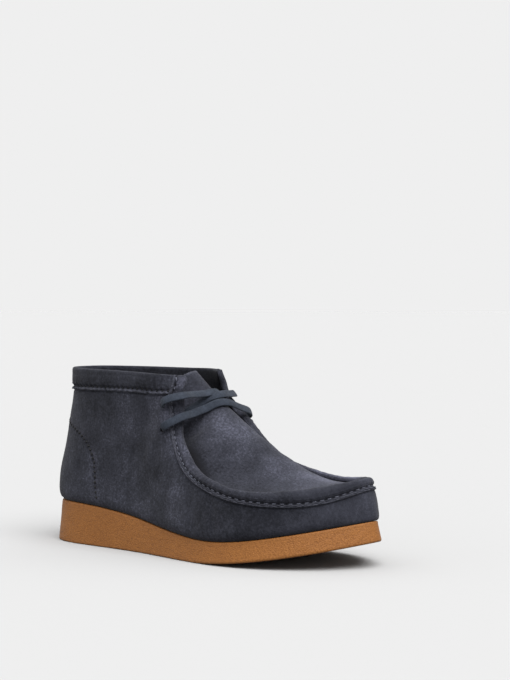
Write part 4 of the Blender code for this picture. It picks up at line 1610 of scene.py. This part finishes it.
def stitches(bm, points, normals, ahead, length, radius, slant):
    # one short rounded thread at each point, laid along the row
    lean = math.radians(slant)
    around, along = threads["segments"]
    for point, normal, way in zip(pushed(np.array(points)), normals, ahead):
        way = way - normal * float(way @ normal)
        way = way / np.linalg.norm(way)
        turned = way * math.cos(lean) + np.cross(normal, way) * math.sin(lean)
        axes = Matrix((normal, np.cross(turned, normal), turned)).transposed().to_4x4()
        made = bmesh.ops.create_uvsphere(bm, u_segments=around, v_segments=along, radius=radius)
        for vert in made["verts"]:
            vert.co.z += math.copysign(length / 2.0 - radius, vert.co.z)
            vert.co.x -= threads["bend"] * radius * (2.0 * vert.co.z / length) ** 2
        matrix = Matrix.Translation(toFrame(point)) @ axes @ Matrix.Scale(mm, 4)
        bmesh.ops.transform(bm, matrix=matrix, verts=made["verts"])


def evenLines(first, last):
    start, end = np.interp((first, last), seamLines, seamCounts)
    marks = np.arange(math.floor(start), math.ceil(end) + 1) + 0.5
    marks = marks[(marks > start) & (marks < end)]
    return np.interp(marks, seamCounts, seamLines)


def seamRow(bm, lines, stitchAt, row, *uneven):
    # threads side by side in the sewn groove
    fan = Fan(lines)
    places = 1.0 + stitchAt / fan.bandLength
    normals = wrapNormal(lines, places)
    points = wrapPoint(fan, places)
    sunk = row["sunk"] + cloudy(points, *uneven) * np.ones(len(points))
    ahead = wrapPoint(Fan(lines + 0.05), places) - wrapPoint(Fan(lines - 0.05), places)
    points = points - normals * sunk[:, None]
    stitches(bm, points, normals, ahead, row["length"], row["radius"], row["slant"])


def counterStitches(bm, side):
    row = threads["counter"]
    path = surfacePath(counterRow(side), 400)
    run = runAlong(path)
    marks = np.arange(counter["spacing"] / 2.0, run[-1] - 1.0, counter["spacing"])
    points = columnsAt(marks, run, path)
    ahead = columnsAt(marks + 1.0, run, path) - points
    normals = wrapNormal(*onWrap(points))
    points = points - normals * row["sunk"]
    stitches(bm, points, normals, ahead, row["length"], row["radius"], side * row["slant"])


def makeStitches(light, dark):
    first, last = firstCorner, lastCorner
    clear = threads["clearOfCorner"]
    bm = bmesh.new()
    frontLines = evenLines(first + clear, last - clear)
    seamRow(bm, frontLines, frontSeam["stitchAt"], threads["front"], threads["unevenFront"])
    for ends, radius in threads["tack"]:
        low, high = np.array(ends)
        middle = (low + high) / 2.0
        normal = wrapNormal(*onWrap(middle[None]))
        length = np.linalg.norm(high - low) + radius
        lifted = middle + normal[0] * threads["tackLift"]
        stitches(bm, [lifted], normal, [high - low], length, radius, 0.0)
    finishPiece("seam_stitches", bm, light, "suede")
    bm = bmesh.new()
    cuffLines = np.r_[evenLines(0.0, first - clear), evenLines(last + clear, rowCount)]
    seamRow(bm, cuffLines, cuffSeam["stitchAt"], threads["cuff"])
    for side in (1.0, -1.0):
        counterStitches(bm, side)
    finishPiece("cuff_and_counter_stitches", bm, dark, "suede")


# Floor, light and camera

def makeStudio():
    bm = bmesh.new()
    bmesh.ops.create_grid(bm, x_segments=1, y_segments=1, size=studio["floorSize"])
    floor = meshObject("floor", bm)
    # the open floor comes out as bright as the backdrop, so no horizon shows
    backdrop = studio["backdrop"]
    shade = backdrop / (backdrop + sum(light for _, _, light, _ in studio["suns"]))
    floor.data.materials.append(plainFinish("pale_floor", (shade, shade, shade, 1.0), 1.0))
    world = bpy.data.worlds.new("studio")
    bpy.context.scene.world = world
    world.use_nodes = True
    background = world.node_tree.nodes["Background"]
    background.inputs["Color"].default_value = (backdrop, backdrop, backdrop, 1.0)
    for name, place, light, angle in studio["suns"]:
        away = Vector(place).normalized()
        sun = bpy.data.lights.new(name, "SUN")
        sun.energy = light * math.pi / away.z
        sun.angle = math.radians(angle)
        addObject(name, sun).rotation_euler = away.to_track_quat("Z", "Y").to_euler()
    bpy.context.scene.view_settings.view_transform = "Standard"


def makeCamera():
    turn = math.radians(studio["turn"])
    pitch = math.radians(studio["pitch"])
    look = np.array((-math.sin(turn), math.cos(turn), 0.0))
    right = np.array((math.cos(turn), math.sin(turn), 0.0))
    place = np.array((sole["length"] / 2.0, 0.0, studio["height"]))
    place = place + right * studio["aside"] - look * studio["distance"]
    camera = addObject("camera", bpy.data.cameras.new("camera"))
    camera.location = toFrame(place)
    camera.data.sensor_width = studio["sensor"]
    camera.data.lens = studio["focalPixels"] / studio["imageHeight"] * studio["sensor"]
    camera.data.clip_end = studio["farClip"]
    aim = Vector(look * math.cos(pitch) - up * math.sin(pitch))
    camera.rotation_euler = aim.to_track_quat("-Z", "Y").to_euler()
    bpy.context.scene.camera = camera


makeStudio()
makeCamera()
print("studio and camera")
suede = suedeFinish("dark_suede", suedeLook, lined=True)
makeUpper(suede)
makeApron(suedeFinish("apron_suede", apronLook))
makeSole(crepeFinish("crepe", crepeLook))
makeLaces(laceFinish("flat_lace", laceLook))
lightThread = threadFinish("light_thread", *threadColours["light"])
threadInShade = threadFinish("thread_with_painted_shade", *threadColours["dark"])
makeStitches(lightThread, threadInShade)
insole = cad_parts["insole"]
insole.data.materials.clear()
insole.data.materials.append(hideFinish("insole_hide", *insoleColours))
print("insole finished")
